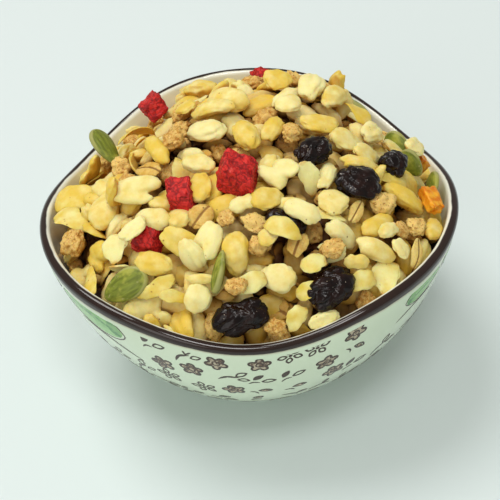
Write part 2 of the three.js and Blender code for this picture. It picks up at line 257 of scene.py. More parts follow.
class Finish:
    """A node material that is built up by chained calls."""

    def __init__(self, name, roughness, **sockets):
        self.material = bpy.data.materials.new(name)
        self.material.use_nodes = True
        self.nodes, self.links = self.material.node_tree.nodes, self.material.node_tree.links
        self.shader = self.nodes["Principled BSDF"]
        self.shader.inputs["Roughness"].default_value = roughness
        for key, value in sockets.items():
            self.shader.inputs[key.replace("_", " ")].default_value = value
        self.place = self.nodes.new("ShaderNodeTexCoord").outputs["Object"]

    def node(self, kind, **inputs):
        node = self.nodes.new("ShaderNode" + kind)
        for key, value in inputs.items():
            self.feed(node, key, value)
        return node

    def feed(self, node, key, value):
        socket = node.inputs[key.replace("_", " ")] if isinstance(key, str) else node.inputs[key]
        if isinstance(value, bpy.types.NodeSocket):
            self.links.new(value, socket)
        else:
            socket.default_value = value

    def noise(self, size_mm, detail=3.0, roughness=0.5, distortion=0.0):
        """Cloudy noise whose features are about size_mm across."""
        node = self.node("TexNoise", Vector=self.place, Scale=1 / (size_mm * MM),
                         Detail=detail, Roughness=roughness, Distortion=distortion)
        return node.outputs["Fac"]

    def streaks(self, along, across):
        """Noise drawn out along a grain, on its own coordinates from -1 to 1."""
        place = self.node("Mapping", Vector=self.attribute("grain", "Vector"),
                          Scale=(along, across, across)).outputs["Vector"]
        return self.node("TexNoise", Vector=place, Scale=1.0, Detail=3.0).outputs["Fac"]

    def folds(self, size_mm, detail=2.0):
        """Height that dips in narrow, wandering creases about size_mm apart."""
        return self.math("ABSOLUTE", self.math("SUBTRACT", self.noise(size_mm, detail, 0.5, 0.4), 0.5))

    def cells(self, size_mm):
        """Distance from the middles of cells about size_mm apart."""
        return self.node("TexVoronoi", Vector=self.place, Scale=1 / (size_mm * MM)).outputs["Distance"]

    def attribute(self, name, output="Fac"):
        node = self.nodes.new("ShaderNodeAttribute")
        node.attribute_name = name
        return node.outputs[output]

    def own_place(self):
        """Coordinates along and across a grain, each from -1 to 1."""
        own = self.node("SeparateXYZ", Vector=self.attribute("grain", "Vector"))
        return own.outputs["X"], own.outputs["Y"]

    def math(self, operation, *values):
        node = self.nodes.new("ShaderNodeMath")
        node.operation = operation
        for index, value in enumerate(values):
            self.feed(node, index, value)
        return node.outputs[0]

    def times(self, a, b):
        return self.math("MULTIPLY", a, b)

    def plus(self, a, b):
        return self.math("ADD", a, b)

    def between(self, value, low, high, to_low=0.0, to_high=1.0):
        """value from low to high, mapped smoothly from to_low to to_high."""
        node = self.nodes.new("ShaderNodeMapRange")
        node.interpolation_type = "SMOOTHSTEP"
        for key, number in (("Value", value), ("From Min", low), ("From Max", high),
                            ("To Min", to_low), ("To Max", to_high)):
            self.feed(node, key, number)
        return node.outputs["Result"]

    def clouds(self, size_mm, detail, low, high, *more):
        """Soft-edged patches: noise between low and high, drawn out to run from 0 to 1."""
        return self.between(self.noise(size_mm, detail, *more), low, high)

    def blend(self, share, first, second):
        """first where share is 0 and second where it is 1."""
        node = self.nodes.new("ShaderNodeMix")
        node.data_type = "RGBA"
        for index, value in ((0, share), (6, as_paint(first)), (7, as_paint(second))):
            self.feed(node, index, value)
        return node.outputs[2]

    def colour(self, value):
        self.feed(self.shader, "Base Color", as_paint(value))
        return self

    def bump(self, height, depth_mm, strength=1.0):
        node = self.node("Bump", Height=height, Distance=depth_mm * MM, Strength=strength)
        old = self.shader.inputs["Normal"].links
        if old:
            self.feed(node, "Normal", old[0].from_socket)
        self.feed(self.shader, "Normal", node.outputs["Normal"])
        return self

    def on(self, *pieces):
        for piece in pieces:
            piece.data.materials.clear()
            piece.data.materials.append(self.material)
        return self


def as_paint(colour):
    """A colour as linear light, if it is written as it looks on the screen, such as "e8d08a"."""
    if not isinstance(colour, str):
        return colour
    parts = [int(colour[i:i + 2], 16) / 255 for i in (0, 2, 4)]
    return (*[c / 12.92 if c <= 0.04045 else ((c + 0.055) / 1.055) ** 2.4 for c in parts], 1.0)


# ---------------------------------------------------------------- camera, light and floor

CAMERA_PLACE, CAMERA_AIM = (8.1, -275.16, 282.93), (0.13, -23.04, 53.8)
CAMERA_ROLL, CAMERA_FIELD, SENSOR_WIDTH = -4.49, 22, 36
LIT_POINT = (0, 0, 0.05)
LIGHTS = (  # name, place in metres, width, power and tint
    ("window_light", (-0.62, 0.42, 1.8), 1.0, 17.5, (1.0, 0.985, 0.95)),
    ("ceiling_light", (0.1, -0.45, 1.3), 0.4, 4.0, (1.0, 0.99, 0.98)),
    ("front_fill", (-0.75, -1.4, 0.9), 1.3, 7.0, (1.0, 0.99, 0.97)),
)
ROOM_TINT, ROOM_LIGHT = (1.0, 0.975, 0.9, 1), 0.42
FLOOR_WIDTH, FLOOR_COLOUR = 30, "dbe6e7"


def look_at(thing, place, aim):
    """Puts a camera or light in its place, turned to a point."""
    thing.location = place
    thing.rotation_mode = "QUATERNION"
    thing.rotation_quaternion = (Vector(aim) - Vector(place)).to_track_quat("-Z", "Y")


def photo_camera():
    """A camera where the photo's was, rolled clockwise."""
    bpy.ops.object.camera_add()
    camera = bpy.context.object
    camera.name = "photo_camera"
    look_at(camera, *[Vector((np.array(p) + AXIS_SHIFT) * MM) for p in (CAMERA_PLACE, CAMERA_AIM)])
    roll = Matrix.Rotation(math.radians(CAMERA_ROLL), 3, "Z").to_quaternion()
    camera.rotation_quaternion = camera.rotation_quaternion @ roll
    camera.data.sensor_width = SENSOR_WIDTH
    camera.data.lens = SENSOR_WIDTH / 2 / math.tan(math.radians(CAMERA_FIELD / 2))
    camera.data.clip_start, camera.data.clip_end = 0.01, 20
    bpy.context.scene.camera = camera


def studio():
    photo_camera()
    bpy.context.scene.view_settings.view_transform = "Standard"
    for name, place, width, power, tint in LIGHTS:
        bpy.ops.object.light_add(type="AREA", location=place)
        light = bpy.context.object
        light.name = name
        light.data.shape, light.data.size = "DISK", width
        light.data.energy, light.data.color = power, tint
        look_at(light, place, LIT_POINT)
    world = bpy.data.worlds.new("pale_room")
    world.use_nodes = True
    background = world.node_tree.nodes["Background"]
    background.inputs["Color"].default_value = ROOM_TINT
    background.inputs["Strength"].default_value = ROOM_LIGHT
    bpy.context.scene.world = world
    bpy.ops.mesh.primitive_plane_add(size=FLOOR_WIDTH)
    floor = taken("floor")
    Finish("pale_table", 0.85).colour(FLOOR_COLOUR).on(floor)


# ---------------------------------------------------------------- the bowl

FOOT_EDGE, FOOT_BEVEL = 0.45, 0.13  # the foot ring's rounded edges
OUTSIDE_RINGS, CREST_RINGS, INSIDE_RINGS, ROUND_STEPS = 30, 11, 24, 144
MIDDLE_DIP = 0.12  # the inside's middle lies this much lower
BAND_WAVE = 0.2  # the brown edge reaches lower at the corners, by this share
LIP_ENDS, BAND_ENDS, HALO_ENDS = (0.5, 0.95), (-3.4, -2.9), (-4.3, -3.1)


def bowl_section():
    """The section from the middle of the base, over the rim, to the middle inside.

    Each point is (radius, height, rise, way from the crest).
    """
    outside = FOOT_RADIUS - FOOT_TAPER
    inside = outside - FOOT_WIDTH
    section = [(r, z, 0.0) for r, z in (
        (0, FOOT_RECESS), (8, FOOT_RECESS), (15, FOOT_RECESS + 0.05), (inside - 0.9, FOOT_RECESS),
        (inside - 0.15, FOOT_RECESS - 0.45), (inside, FOOT_RECESS - 1.2), (inside, 2.5),
        (inside, FOOT_EDGE), (inside + FOOT_BEVEL, FOOT_BEVEL), (inside + FOOT_EDGE, 0),
        (inside + 1.7, 0), (outside - FOOT_EDGE, 0), (outside - FOOT_BEVEL, FOOT_BEVEL),
        (outside, FOOT_EDGE), (outside + 0.2, 2.4), (outside + 0.42, 4.4), (outside + 0.9, 5.55))]
    wall = [wall_point(s) for s in np.linspace(0.02, 1, OUTSIDE_RINGS)]
    wall += [wall_point(1, CREST * (1 - math.cos(turn)), CREST * math.sin(turn))
             for turn in np.linspace(0, math.pi, CREST_RINGS)[1:-1]]
    crest = len(section) + len(wall) - CREST_RINGS // 2
    wall += [wall_point(s, wall_thickness(s)) for s in np.linspace(1, 0.0, INSIDE_RINGS)]
    section += [tuple(map(float, point)) for point in wall]
    middle = float(wall_point(0, BASE_WALL)[1])
    section += [(r, middle - MIDDLE_DIP * (1 - r / FOOT_RADIUS), 0.0) for r in (18, 11, 5, 0)]
    steps = [math.hypot(b[0] - a[0], b[1] - a[1]) for a, b in zip(section, section[1:])]
    way = np.concatenate([[0], np.cumsum(steps)])
    return [(*point, w) for point, w in zip(section, way - way[crest])]


def bowl_body():
    """The bowl is turned like a potter's: a section is drawn, spun and pressed into three corners."""
    section = bowl_section()
    clear_selection()
    bpy.ops.mesh.primitive_plane_add(size=MM)
    bowl = taken("glazed_bowl")
    with editing():
        bpy.ops.mesh.merge(type="CENTER")
        bpy.ops.transform.translate(value=(section[0][0] * MM, 0, section[0][1] * MM))
        for before, after in zip(section, section[1:]):
            step = ((after[0] - before[0]) * MM, 0, (after[1] - before[1]) * MM)
            bpy.ops.mesh.extrude_region_move(TRANSFORM_OT_translate={"value": step})
        bpy.ops.mesh.select_all(action="SELECT")
        bpy.ops.mesh.spin(steps=ROUND_STEPS, angle=2 * math.pi, center=(0, 0, 0), axis=(0, 0, 1))
    tidy_mesh(bowl, 2e-6)

    points = points_of(bowl) / MM
    x, y, z = points.T
    flat_r, flat_z, rises, ways = np.array(section).T
    off = (np.hypot(x, y)[:, None] - flat_r) ** 2 + (z[:, None] - flat_z) ** 2
    nearest = np.argmin(off, 1)
    rise, angle = rises[nearest], np.arctan2(y, x)
    points[:, :2] *= stretch(angle, rise)[:, None]
    points[:, 2] += rise * rim_wave(angle)
    set_points_mm(bowl, points)
    way = ways[nearest]
    mark(bowl, "way_from_crest", np.where(way < 0, way / (1 + BAND_WAVE * corner_wave(angle)), way))
    smooth(bowl)
    ride(bowl, "bowl_glaze", "bowl")
    glaze_finish().on(bowl)

    clay = Finish("bare_clay_foot", 0.8)
    clay.colour(clay.blend(clay.noise(1.2), "d9cfba", "c6b99f")).bump(clay.noise(0.5, 4), 0.08)
    bowl.data.materials.append(clay.material)
    for face in bowl.data.polygons:
        if face.center.z < 0.3 * MM:
            face.material_index = 1


def glaze_finish():
    """Pale celadon glaze, cream inside, with a pooled brown edge that wanders a little."""
    glaze = Finish("celadon_glaze", 0.09)
    wobble = glaze.times(glaze.math("SUBTRACT", glaze.noise(9, 2), 0.5), 0.9)
    way = glaze.plus(glaze.attribute("way_from_crest"), wobble)
    shade = glaze.noise(26, 2)
    wall = glaze.blend(shade, "ddeacf", "d0e1c6")
    inner = glaze.blend(shade, "f4f5e8", "eceedf")
    pooled = glaze.blend(glaze.noise(3.2, 4), "1c0f0b", "2e1a13")
    halo = glaze.times(glaze.between(way, *HALO_ENDS), 0.5)
    outer = glaze.blend(halo, wall, "a48b70")
    outer = glaze.blend(glaze.between(way, *BAND_ENDS), outer, pooled)
    glaze.colour(glaze.blend(glaze.between(way, *LIP_ENDS), outer, inner))
    return glaze.bump(glaze.noise(5, 2), 0.05, 0.5)


# ---------------------------------------------------------------- the print on the bowl

PRINT_PROUD, PRINT_SUNK = 0.035, 0.03  # millimetres over and under the glaze
LINE_PROUD = 0.008  # lines lie this much over the washes
PRINT_FROM_RIM, PRINT_ROW, PRINT_STEP, PRINT_ROWS = 4.2, 8.6, 8.8, 6
LOWEST_PRINT = 52.0
LINE, THIN_LINE = 0.66, 0.52
BAND_END = 3.0  # the brown edge covers the print down to here
KINDS = ("flower", "spray", "open_flower", "leaves", "flower", "bud", "twig", "flower", "leaves", "spray")
LEAF_ZONE, LEAF_ZONE_END = 28.0, 16  # no small motifs lie beside the corners' leaves
LEAF_REACH, LEAF_WIDTH, LEAF_SAG = 11.8, 5.8, 1.0
OVER_BOWL = (0, 0, 0.06)  # in metres; the print faces away from this point


def wall_way():
    """Shares of the wall's section, and the way down from the rim to each."""
    shares = np.linspace(1, 0.05, 200)
    r, z, _ = wall_point(shares)
    return shares, np.concatenate([[0], np.cumsum(np.hypot(np.diff(r), np.diff(z)))])


def on_wall(across, down, angle, proud):
    """Points of the wall's face, from flat coordinates round an angle: across it and down from the rim."""
    shares, ways = wall_way()
    share = np.interp(down, ways, shares)
    r, z, rise = wall_point(share, -proud)
    turn = angle + across / r
    r = r * stretch(turn, rise)
    return np.stack([r * np.cos(turn), r * np.sin(turn), z + rise * rim_wave(turn)], 1)


def flat_outline(name, count, rule, line=None, cuts=2):
    """A circle shaped by a rule, as an outline of the line's width or filled if line is None."""
    clear_selection()
    bpy.ops.mesh.primitive_circle_add(vertices=count, radius=1, fill_type="NGON")
    piece = taken(name)
    points = points_of(piece)
    angle = np.arctan2(points[:, 1], points[:, 0])
    points[:, 0], points[:, 1] = rule(angle)
    set_points(piece, points)
    with editing():
        if line:
            bpy.ops.mesh.inset(thickness=line, depth=0)
            bpy.ops.mesh.delete(type="ONLY_FACE")
        else:
            bpy.ops.mesh.poke()
            bpy.ops.mesh.subdivide(number_cuts=cuts)
    shape = points_of(piece)[:, :2], faces_of(piece)
    bpy.data.objects.remove(piece)
    return shape


def petals(size, number, depth, turn=0.0):
    def rule(angle):
        r = size * (1 - depth + depth * np.abs(np.cos(number / 2 * (angle - turn))) ** 0.8)
        return r * np.cos(angle), r * np.sin(angle)
    return rule


def leaf(length, width, bend=0.0):
    def rule(angle):
        x = np.cos(angle)
        y = np.sin(angle) * (1 - 0.45 * x**2) + bend * (1 - x**2)
        return length / 2 * x, width / 2 * y
    return rule


def arc(length, width, bend):
    """A thin curved stroke."""
    def rule(angle):
        x = np.cos(angle)
        return length / 2 * x, width / 2 * np.sin(angle) + bend * (0.5 - x**2)
    return rule


def turned(points, turn):
    c, s = math.cos(turn), math.sin(turn)
    return points @ np.array([[c, s], [-s, c]])


def moved(shape, x, y, turn=0.0, grow=1.0):
    points, faces = shape
    return turned(grow * points, turn) + (x, y), faces


def motifs():
    """The drawn motifs, each a list of (shape, is it a line)."""
    flower = flat_outline("flower_line", 50, petals(3.3, 5, 0.42), LINE)
    flower_wash = flat_outline("flower_wash", 50, petals(2.95, 5, 0.42))
    heart = flat_outline("flower_heart", 16, petals(1.2, 4, 0.1), 0.42)
    ring = flat_outline("petal_line", 18, leaf(2.9, 2.1), THIN_LINE)
    leaf_line = flat_outline("leaf_line", 22, leaf(4.0, 2.3, 0.15), THIN_LINE)
    leaf_fill = flat_outline("leaf_fill", 22, leaf(3.7, 2.0, 0.15))
    stroke = flat_outline("twig", 26, arc(6.0, 0.55, 1.3), None, 1)
    short = flat_outline("twig_short", 18, arc(3.2, 0.5, 0.7), None, 1)
    dot = flat_outline("dot", 10, petals(0.55, 2, 0.0), None, 0)
    turns = [2 * math.pi * k / 5 for k in range(5)]
    open_petals = [moved(ring, 2.2 * math.cos(t), 2.2 * math.sin(t), t) for t in turns]
    lines = {
        "flower": [flower, heart],
        "open_flower": [*open_petals, dot],
        "spray": [moved(stroke, -1.2, 0, 0.15), moved(leaf_line, 2.7, 1.5, 0.5),
                  moved(leaf_line, 2.7, -1.6, -0.25, 0.85)],
        "twig": [moved(stroke, 0, 0, -0.2), moved(leaf_fill, 2.4, 1.7, 0.7, 0.85)],
        "bud": [leaf_line, moved(short, -2.6, -1.6, -0.5)],
        "leaves": [moved(leaf_fill, -1.5, 1.2, 0.9), moved(leaf_line, 1.6, -0.9, 0.2),
                   moved(short, -2.2, -2.0, 0.3)],
    }
    washes = {"flower": [flower_wash], "bud": [moved(leaf_fill, 0, 0, 0, 0.55)]}
    return lines, washes


def band_edge(angle):
    """How far down the brown edge hides the print: a little more at the corners."""
    return BAND_END * (1 + BAND_WAVE * corner_wave(angle))


def lay_print(name, laid, finish):
    """Drawn shapes laid on the wall as a film of colour, closed all round, down from the brown edge."""
    parts = []
    for (flat, drawn_faces), down, angle, turn, lift in laid:
        flat, edge = turned(flat, turn), band_edge(angle)
        below = np.maximum(down - flat[:, 1], edge)
        seen = [face for face in drawn_faces if edge + 0.02 < below[list(face)].max() < LOWEST_PRINT]
        parts.append((on_wall(flat[:, 0], below, angle, PRINT_PROUD + lift), seen))
    film = mesh_piece(name, *joined(parts), "bowl_glaze")
    tidy_mesh(film, 1e-7)
    bm = bmesh.new()
    bm.from_mesh(film.data)
    bmesh.ops.delete(bm, geom=[v for v in bm.verts if not v.link_faces], context="VERTS")
    inwards = [f for f in bm.faces if f.normal.dot(f.calc_center_median() - Vector(OVER_BOWL)) < 0]
    bmesh.ops.reverse_faces(bm, faces=inwards)
    bm.to_mesh(film.data)
    bm.free()
    apply_modifier(film, "SOLIDIFY", thickness=(PRINT_PROUD + PRINT_SUNK) * MM, offset=-1)
    finish.on(film)


def bowl_print():
    """Rows of small flowers, leaves and twigs in brown, each row half a step on from the one above."""
    chance = np.random.default_rng(12)
    drawn_lines, drawn_washes = motifs()
    lines, washes = [], []
    shares, ways = wall_way()
    for row in range(PRINT_ROWS):
        down = PRINT_FROM_RIM + PRINT_ROW * row
        r = float(wall_point(float(np.interp(down, ways, shares)))[0])
        number = round(2 * math.pi * r / PRINT_STEP)
        for k in range(number):
            angle = 2 * math.pi * (k + 0.5 * (row % 2)) / number + chance.uniform(-0.025, 0.025)
            from_corner = (angle - math.pi / 2 + math.pi / 3) % (2 * math.pi / 3) - math.pi / 3
            if down < LEAF_ZONE_END and abs(from_corner) * r < LEAF_ZONE:
                continue
            kind = KINDS[(k + 3 * row + chance.integers(2)) % len(KINDS)]
            turn = chance.uniform(0, 1.2) if kind == "flower" else chance.uniform(-0.8, 0.8)
            low = down + chance.uniform(-1.5, 1.5)
            lines += [(shape, low, angle, turn, LINE_PROUD) for shape in drawn_lines[kind]]
            washes += [(shape, low, angle, turn, 0) for shape in drawn_washes.get(kind, ())]
    ink = Finish("brown_ink", 0.14)
    ink.colour(ink.blend(ink.noise(1.5, 3), "2c1d15", "4a372a"))
    lay_print("floral_lines", lines, ink)
    lay_print("floral_washes", washes, wash_finish("brown_wash", 0.14, 1.3, 0.42, 0.56, "5b4433", "b7ab92"))
    corner_leaves(ink)


def wash_finish(name, roughness, size_mm, low, high, dark, light):
    """Thin colour that pools in darker patches."""
    wash = Finish(name, roughness)
    return wash.colour(wash.blend(wash.clouds(size_mm, 3, low, high), dark, light))


def corner_leaves(ink):
    """A long and a short green leaf under the brown edge at each corner, with a loose thin outline."""
    def leaf_rule(grow, drop=0.0):
        def rule(angle):
            x, y = np.cos(angle), np.sin(angle)
            body = y * np.abs(y) ** 0.35 * (1 + 0.3 * x)
            return LEAF_REACH * grow * x, LEAF_WIDTH * grow * body - LEAF_SAG * x**2 - drop
        return rule

    broad = flat_outline("broad_leaf", 56, leaf_rule(0.93), None, 8)
    edge = flat_outline("leaf_edge", 56, leaf_rule(1.0, 0.5), 0.36)
    fold = flat_outline("leaf_fold", 44, arc(16, 1.5, 1.2), None, 5)
    tip = flat_outline("leaf_tip", 28, lambda a: (2.1 * np.cos(a), 3.0 * np.sin(a)), None, 4)
    stem = flat_outline("leaf_stem", 44, arc(20, 0.36, 1.6), None, 6)
    green, dark, lines = [], [], []
    for corner in range(CORNERS):
        middle = math.pi / 2 + corner * 2 * math.pi / CORNERS
        for side, grow in ((1, 1.0), (-1, 0.66)):
            def laid(shape, down, across, turn, lift):
                """A shape beside the corner, mirrored and made smaller for the short leaf."""
                mirrored = shape[0] * (side * grow, grow), shape[1]
                return mirrored, down, middle + side * across * grow / RIM_RADIUS, side * turn, lift

            green.append(laid(broad, 4.6, 12.6, -0.08, 0))
            dark += [laid(fold, 5.4, 12.6, -0.08, 0.006), laid(tip, 6.0, 21.0, 0.3, 0.006)]
            lines += [laid(edge, 4.6, 12.6, -0.08, 0.01), laid(stem, 4.6 + 8.8 * grow, 17.0, -0.32, 0.01)]
    lay_print("green_leaves", green, wash_finish("jade_wash", 0.12, 6, 0.35, 0.65, "62a84c", "93c67c"))
    lay_print("green_lobes", dark, wash_finish("deep_jade", 0.12, 2.4, 0.4, 0.62, "4a8848", "7aac68"))
    lay_print("leaf_lines", lines, ink)


# ---------------------------------------------------------------- shapes of the grains

BLANK_STEP = 7.3  # the blanks stand this far from each other
# Length, width and thickness, each from and to.
OAT_SIZE = (7.8, 10.4), (5.2, 7.0), (1.3, 2.0)
FLAKE_SIZE = (8.5, 13.0), (5.2, 8.2), (0.75, 1.15)
CRUMB_SIZE = (2.8, 5.4), (2.2, 3.6), (0.9, 2.0)
# Length, then width and thickness as shares of it.
KERNEL_SIZE = (8.0, 11.6), (0.5, 0.74), (0.32, 0.44)
STUCK_KERNEL_SIZE = (6.6, 9.0), (0.5, 0.74), (0.32, 0.44)
CLUSTER_SIZE = (5.0, 8.6), (0.65, 0.9), (0.5, 0.75)


def grain_blank(name, spot, rounds=3):
    """A ball of radius 1, off to one side, so that each takes another part of a texture."""
    clear_selection()
    bpy.ops.mesh.primitive_ico_sphere_add(subdivisions=rounds, radius=1,
                                          location=(BLANK_STEP * spot, 0, 0))
    return taken(name)


def shape_blank(piece, size, taper=0.0, bend=0.0, lumps=(), press=None):
    """Lumps, presses, sizes, tapers and bends a blank: its points and faces, in millimetres."""
    activate(piece)
    lump(piece, lumps)
    if press:
        set_points(piece, press(points_of(piece)))
    with editing():
        bpy.ops.transform.resize(value=[s / 2 for s in size], orient_type="LOCAL")
    if taper:
        apply_modifier(piece, "SIMPLE_DEFORM", deform_method="TAPER", deform_axis="X", factor=taper)
    if bend:  # the modifier curls a shape in its own level, so the blank is stood on its side for it
        set_points(piece, points_of(piece)[:, [0, 2, 1]] * (1, -1, 1))
        apply_modifier(piece, "SIMPLE_DEFORM", deform_method="BEND", deform_axis="Z",
                       angle=math.radians(bend))
        set_points(piece, points_of(piece)[:, [0, 2, 1]] * (1, 1, -1))
    return taken_apart(piece)


def creased(depth, width, side=1.0, then=None):
    """Presses a lengthwise crease into a ball, on one side of it."""
    def press(points):
        across = np.exp(-(points[:, 1] / width) ** 2) * np.clip(1 - points[:, 0] ** 2, 0, 1) ** 0.5
        facing = np.clip(side * points[:, 2], 0, 1)
        points[:, 2] -= side * depth * across * facing
        return then(points) if then else points
    return press


def waisted(depth, at, width):
    """Presses a waist round a ball, so that it looks like two grains that stuck together."""
    def press(points):
        dent = 1 - depth * np.exp(-((points[:, 0] - at) / width) ** 2)
        points[:, 1] *= dent
        points[:, 2] *= dent
        return points
    return press


def flake_edge(waves, ripple, chance):
    """Gives a flattened ball an uneven outline and a rippled face, like a thin flake."""
    turns = chance.uniform(0, 2 * math.pi, 4)

    def press(points):
        angle = np.arctan2(points[:, 1], points[:, 0])
        out = 1 + waves * (np.sin(2 * angle + turns[0]) + 0.7 * np.sin(3 * angle + turns[1])
                           + 0.45 * np.sin(7 * angle + turns[2]))
        points[:, :2] *= out[:, None]
        points[:, 2] += ripple * np.sin(3.1 * points[:, 0] + turns[3]) * np.cos(2.3 * points[:, 1] + turns[1])
        return points
    return press


def blunted(ends, sides, then=None):
    """Swells a ball towards a rounded block, less pointed at its ends, before it is pressed."""
    def press(points):
        for axis, power in ((0, ends), (1, sides)):
            points[:, axis] = np.sign(points[:, axis]) * np.abs(points[:, axis]) ** power
        return then(points) if then else points
    return press


def puckered(depth, chance, then):
    """Presses wandering folds into a ball, as in a dried fruit's skin."""
    turns = chance.uniform(0, 2 * math.pi, 9)

    def press(points):
        for k in range(3):
            x, y, z = np.roll(points, k, 1).T
            wander = 1.3 * np.sin(1.9 * x + turns[k]) + 1.1 * np.sin(2.1 * z + turns[k + 3])
            fold = np.sin(2.2 * y + wander + turns[k + 6])
            points = points * (1 - depth * (1 - np.abs(fold)) ** 4)[:, None]
        return then(points)
    return press


def uneven(chance):
    """Leans and tapers a block, so that it looks broken rather than cut."""
    lean, narrow = chance.uniform(-0.25, 0.25, 3), chance.uniform(-0.22, 0.22, 3)

    def press(points):
        x, y, z = points.T.copy()
        points[:, 0] = x * (1 + narrow[0] * z) + lean[0] * y
        points[:, 1] = y * (1 + narrow[1] * x) + lean[1] * z
        points[:, 2] = z * (1 + narrow[2] * y) + lean[2] * x
        return points
    return press


def stuck_together(name, parts, lumps):
    """Kernels that stuck together in the oven: laid over each other, then given one skin."""
    piece = new_object(name, *joined([(own @ turn.T + place, faces) for (own, faces), turn, place in parts]))
    apply_modifier(piece, "REMESH", mode="VOXEL", voxel_size=0.5)
    apply_modifier(piece, "SMOOTH", factor=0.5, iterations=2)
    lump(piece, lumps)
    return taken_apart(piece)


class Shape:
    """A grain that is modelled once: its mesh, its kind and the balls that stand for it in packing."""

    def __init__(self, kind, mesh, cells):
        self.kind = kind
        self.points, self.faces = mesh
        self.half = (self.points.max(0) - self.points.min(0)) / 2
        self.balls, self.radii = self.fill(*cells)

    def fill(self, along, across):
        """Balls in a grid of cells over the shape, each as thick as the shape is there."""
        balls, radii = [], []
        low, step = self.points.min(0)[:2], 2 * self.half[:2] / (along, across)
        cell = ((self.points[:, :2] - low) / step).astype(int)
        cell = np.minimum(cell, [along - 1, across - 1])
        for i, j in itertools.product(range(along), range(across)):
            inside = self.points[(cell == (i, j)).all(1)]
            if len(inside) < 4:
                continue
            balls.append(inside.mean(0))
            radii.append(max(0.47 * np.ptp(inside[:, 2]), 0.75))
        balls = np.array(balls)
        balls[:, :2] *= 0.96
        return balls - balls.mean(0), np.array(radii)

    def sized(self, length, width):
        """The same shape drawn out to a length and a width."""
        grow = np.array([length, width, 0]) / (2 * np.maximum(self.half, 1e-6))
        grow[2] = 0.88 * min(grow[0], grow[1])
        other = copy.copy(self)
        other.points, other.half, other.balls = self.points * grow, self.half * grow, self.balls * grow
        other.radii = self.radii * grow[2]
        return other


def drawn_size(chance, spans, by_length=False):
    """Length, width and thickness from their spans, the last two as shares of the length if by_length."""
    length, width, thickness = (chance.uniform(*span) for span in spans)
    return (length, length * width, length * thickness) if by_length else (length, width, thickness)


def grain_shapes(chance):
    """Every shape of grain, by kind."""
    soft = clouds_texture("soft_lumps", 1.1)
    knobs, crumb, grit, big_crumb = (
        clouds_texture(name, scale, noise_depth=2) for name, scale in (
            ("knobs", 0.55), ("crumb", 0.28), ("grit", 0.16), ("big_crumb", 1.3)))
    shapes = []
    spots = iter(range(1, 100))

    def kernel(name, spans, rounds=4):
        size = drawn_size(chance, spans, True)
        form = chance.random()
        if form < 0.16:
            press = creased(chance.uniform(0.1, 0.35), chance.uniform(0.12, 0.24), chance.choice([-1.0, 1.0]))
        elif form < 0.36:
            press = waisted(chance.uniform(0.08, 0.2), chance.uniform(-0.35, 0.35), 0.22)
        else:
            press = flake_edge(0.02, 0.1, chance)
        bend = chance.choice([0, 25, 60]) * chance.uniform(0.7, 1.2)
        return shape_blank(
            grain_blank(name, next(spots), rounds), size, chance.uniform(-0.4, 0.4), bend,
            ((soft, chance.uniform(0.35, 0.65)), (knobs, chance.uniform(0.1, 0.22)), (crumb, 0.1)),
            blunted(chance.uniform(0.8, 1.0), chance.uniform(0.85, 1.0), press))

    for _ in range(16):
        shapes.append(Shape("puffed_grains", kernel("puffed_grain", KERNEL_SIZE), (3, 1)))
    for count in (2, 2, 2, 2, 2, 3, 3):
        parts = []
        for k in range(count):
            tip = (Matrix.Rotation(chance.uniform(-0.5, 0.5), 3, "Y")
                   @ Matrix.Rotation(chance.uniform(-0.6, 0.6), 3, "Z"))
            place = (chance.uniform(-1.5, 1.5), (k - (count - 1) / 2) * chance.uniform(2.9, 4.0),
                     chance.uniform(-0.8, 0.8))
            parts.append((kernel("stuck_grain", STUCK_KERNEL_SIZE, 3), np.array(tip), np.array(place)))
        mesh = stuck_together("stuck_grains", parts, ((big_crumb, 0.4),))
        shapes.append(Shape("stuck_grains", mesh, (3, count)))
    for _ in range(8):
        size = drawn_size(chance, OAT_SIZE)
        mesh = shape_blank(grain_blank("oat_flake", next(spots), 4), size, chance.uniform(-0.25, 0.25),
                           chance.uniform(15, 60), ((soft, 0.45), (knobs, 0.16), (crumb, 0.16)),
                           creased(0.8, 0.12, then=flake_edge(0.035, 0.25, chance)))
        shapes.append(Shape("oat_flakes", mesh, (3, 2)))
    for _ in range(10):
        size = drawn_size(chance, FLAKE_SIZE)
        mesh = shape_blank(grain_blank("thin_flake", next(spots), 4), size, chance.uniform(0.2, 0.8),
                           chance.uniform(40, 120), ((knobs, 0.2), (crumb, 0.16)),
                           flake_edge(0.1, 0.8, chance))
        shapes.append(Shape("thin_flakes", mesh, (4, 3)))
    for _ in range(8):
        size = drawn_size(chance, CLUSTER_SIZE, True)
        mesh = shape_blank(grain_blank("toasted_cluster", next(spots), 4), size, chance.uniform(-0.2, 0.2), 0,
                           ((soft, 0.8), (knobs, 0.4), (crumb, 0.3), (grit, 0.12)))
        shapes.append(Shape("toasted_clusters", mesh, (2, 2)))
    for _ in range(5):
        size = drawn_size(chance, CRUMB_SIZE)
        mesh = shape_blank(grain_blank("crumb", next(spots), 2), size, 0.3, 0, ((knobs, 0.6),))
        shapes.append(Shape("crumbs", mesh, (1, 1)))
    return shapes


# ---------------------------------------------------------------- packing the grains

def inner_radius(angle, z):
    """Radius of the wall's inner face at a height."""
    shares = np.linspace(0, 1, 60)
    r, height, rise = wall_point(shares, wall_thickness(shares))
    wave = rim_wave(angle)
    at = np.interp(z, height, rise)
    for _ in range(3):
        at = np.interp(z - at * wave, height, rise)
    return np.interp(z - at * wave, height, r) * stretch(angle, at)


def crest_line(angle):
    """Radius and height of the middle of the rim's rounded crest."""
    r, z, rise = wall_point(1, CREST)
    return r * stretch(angle, rise), z + rim_wave(angle)


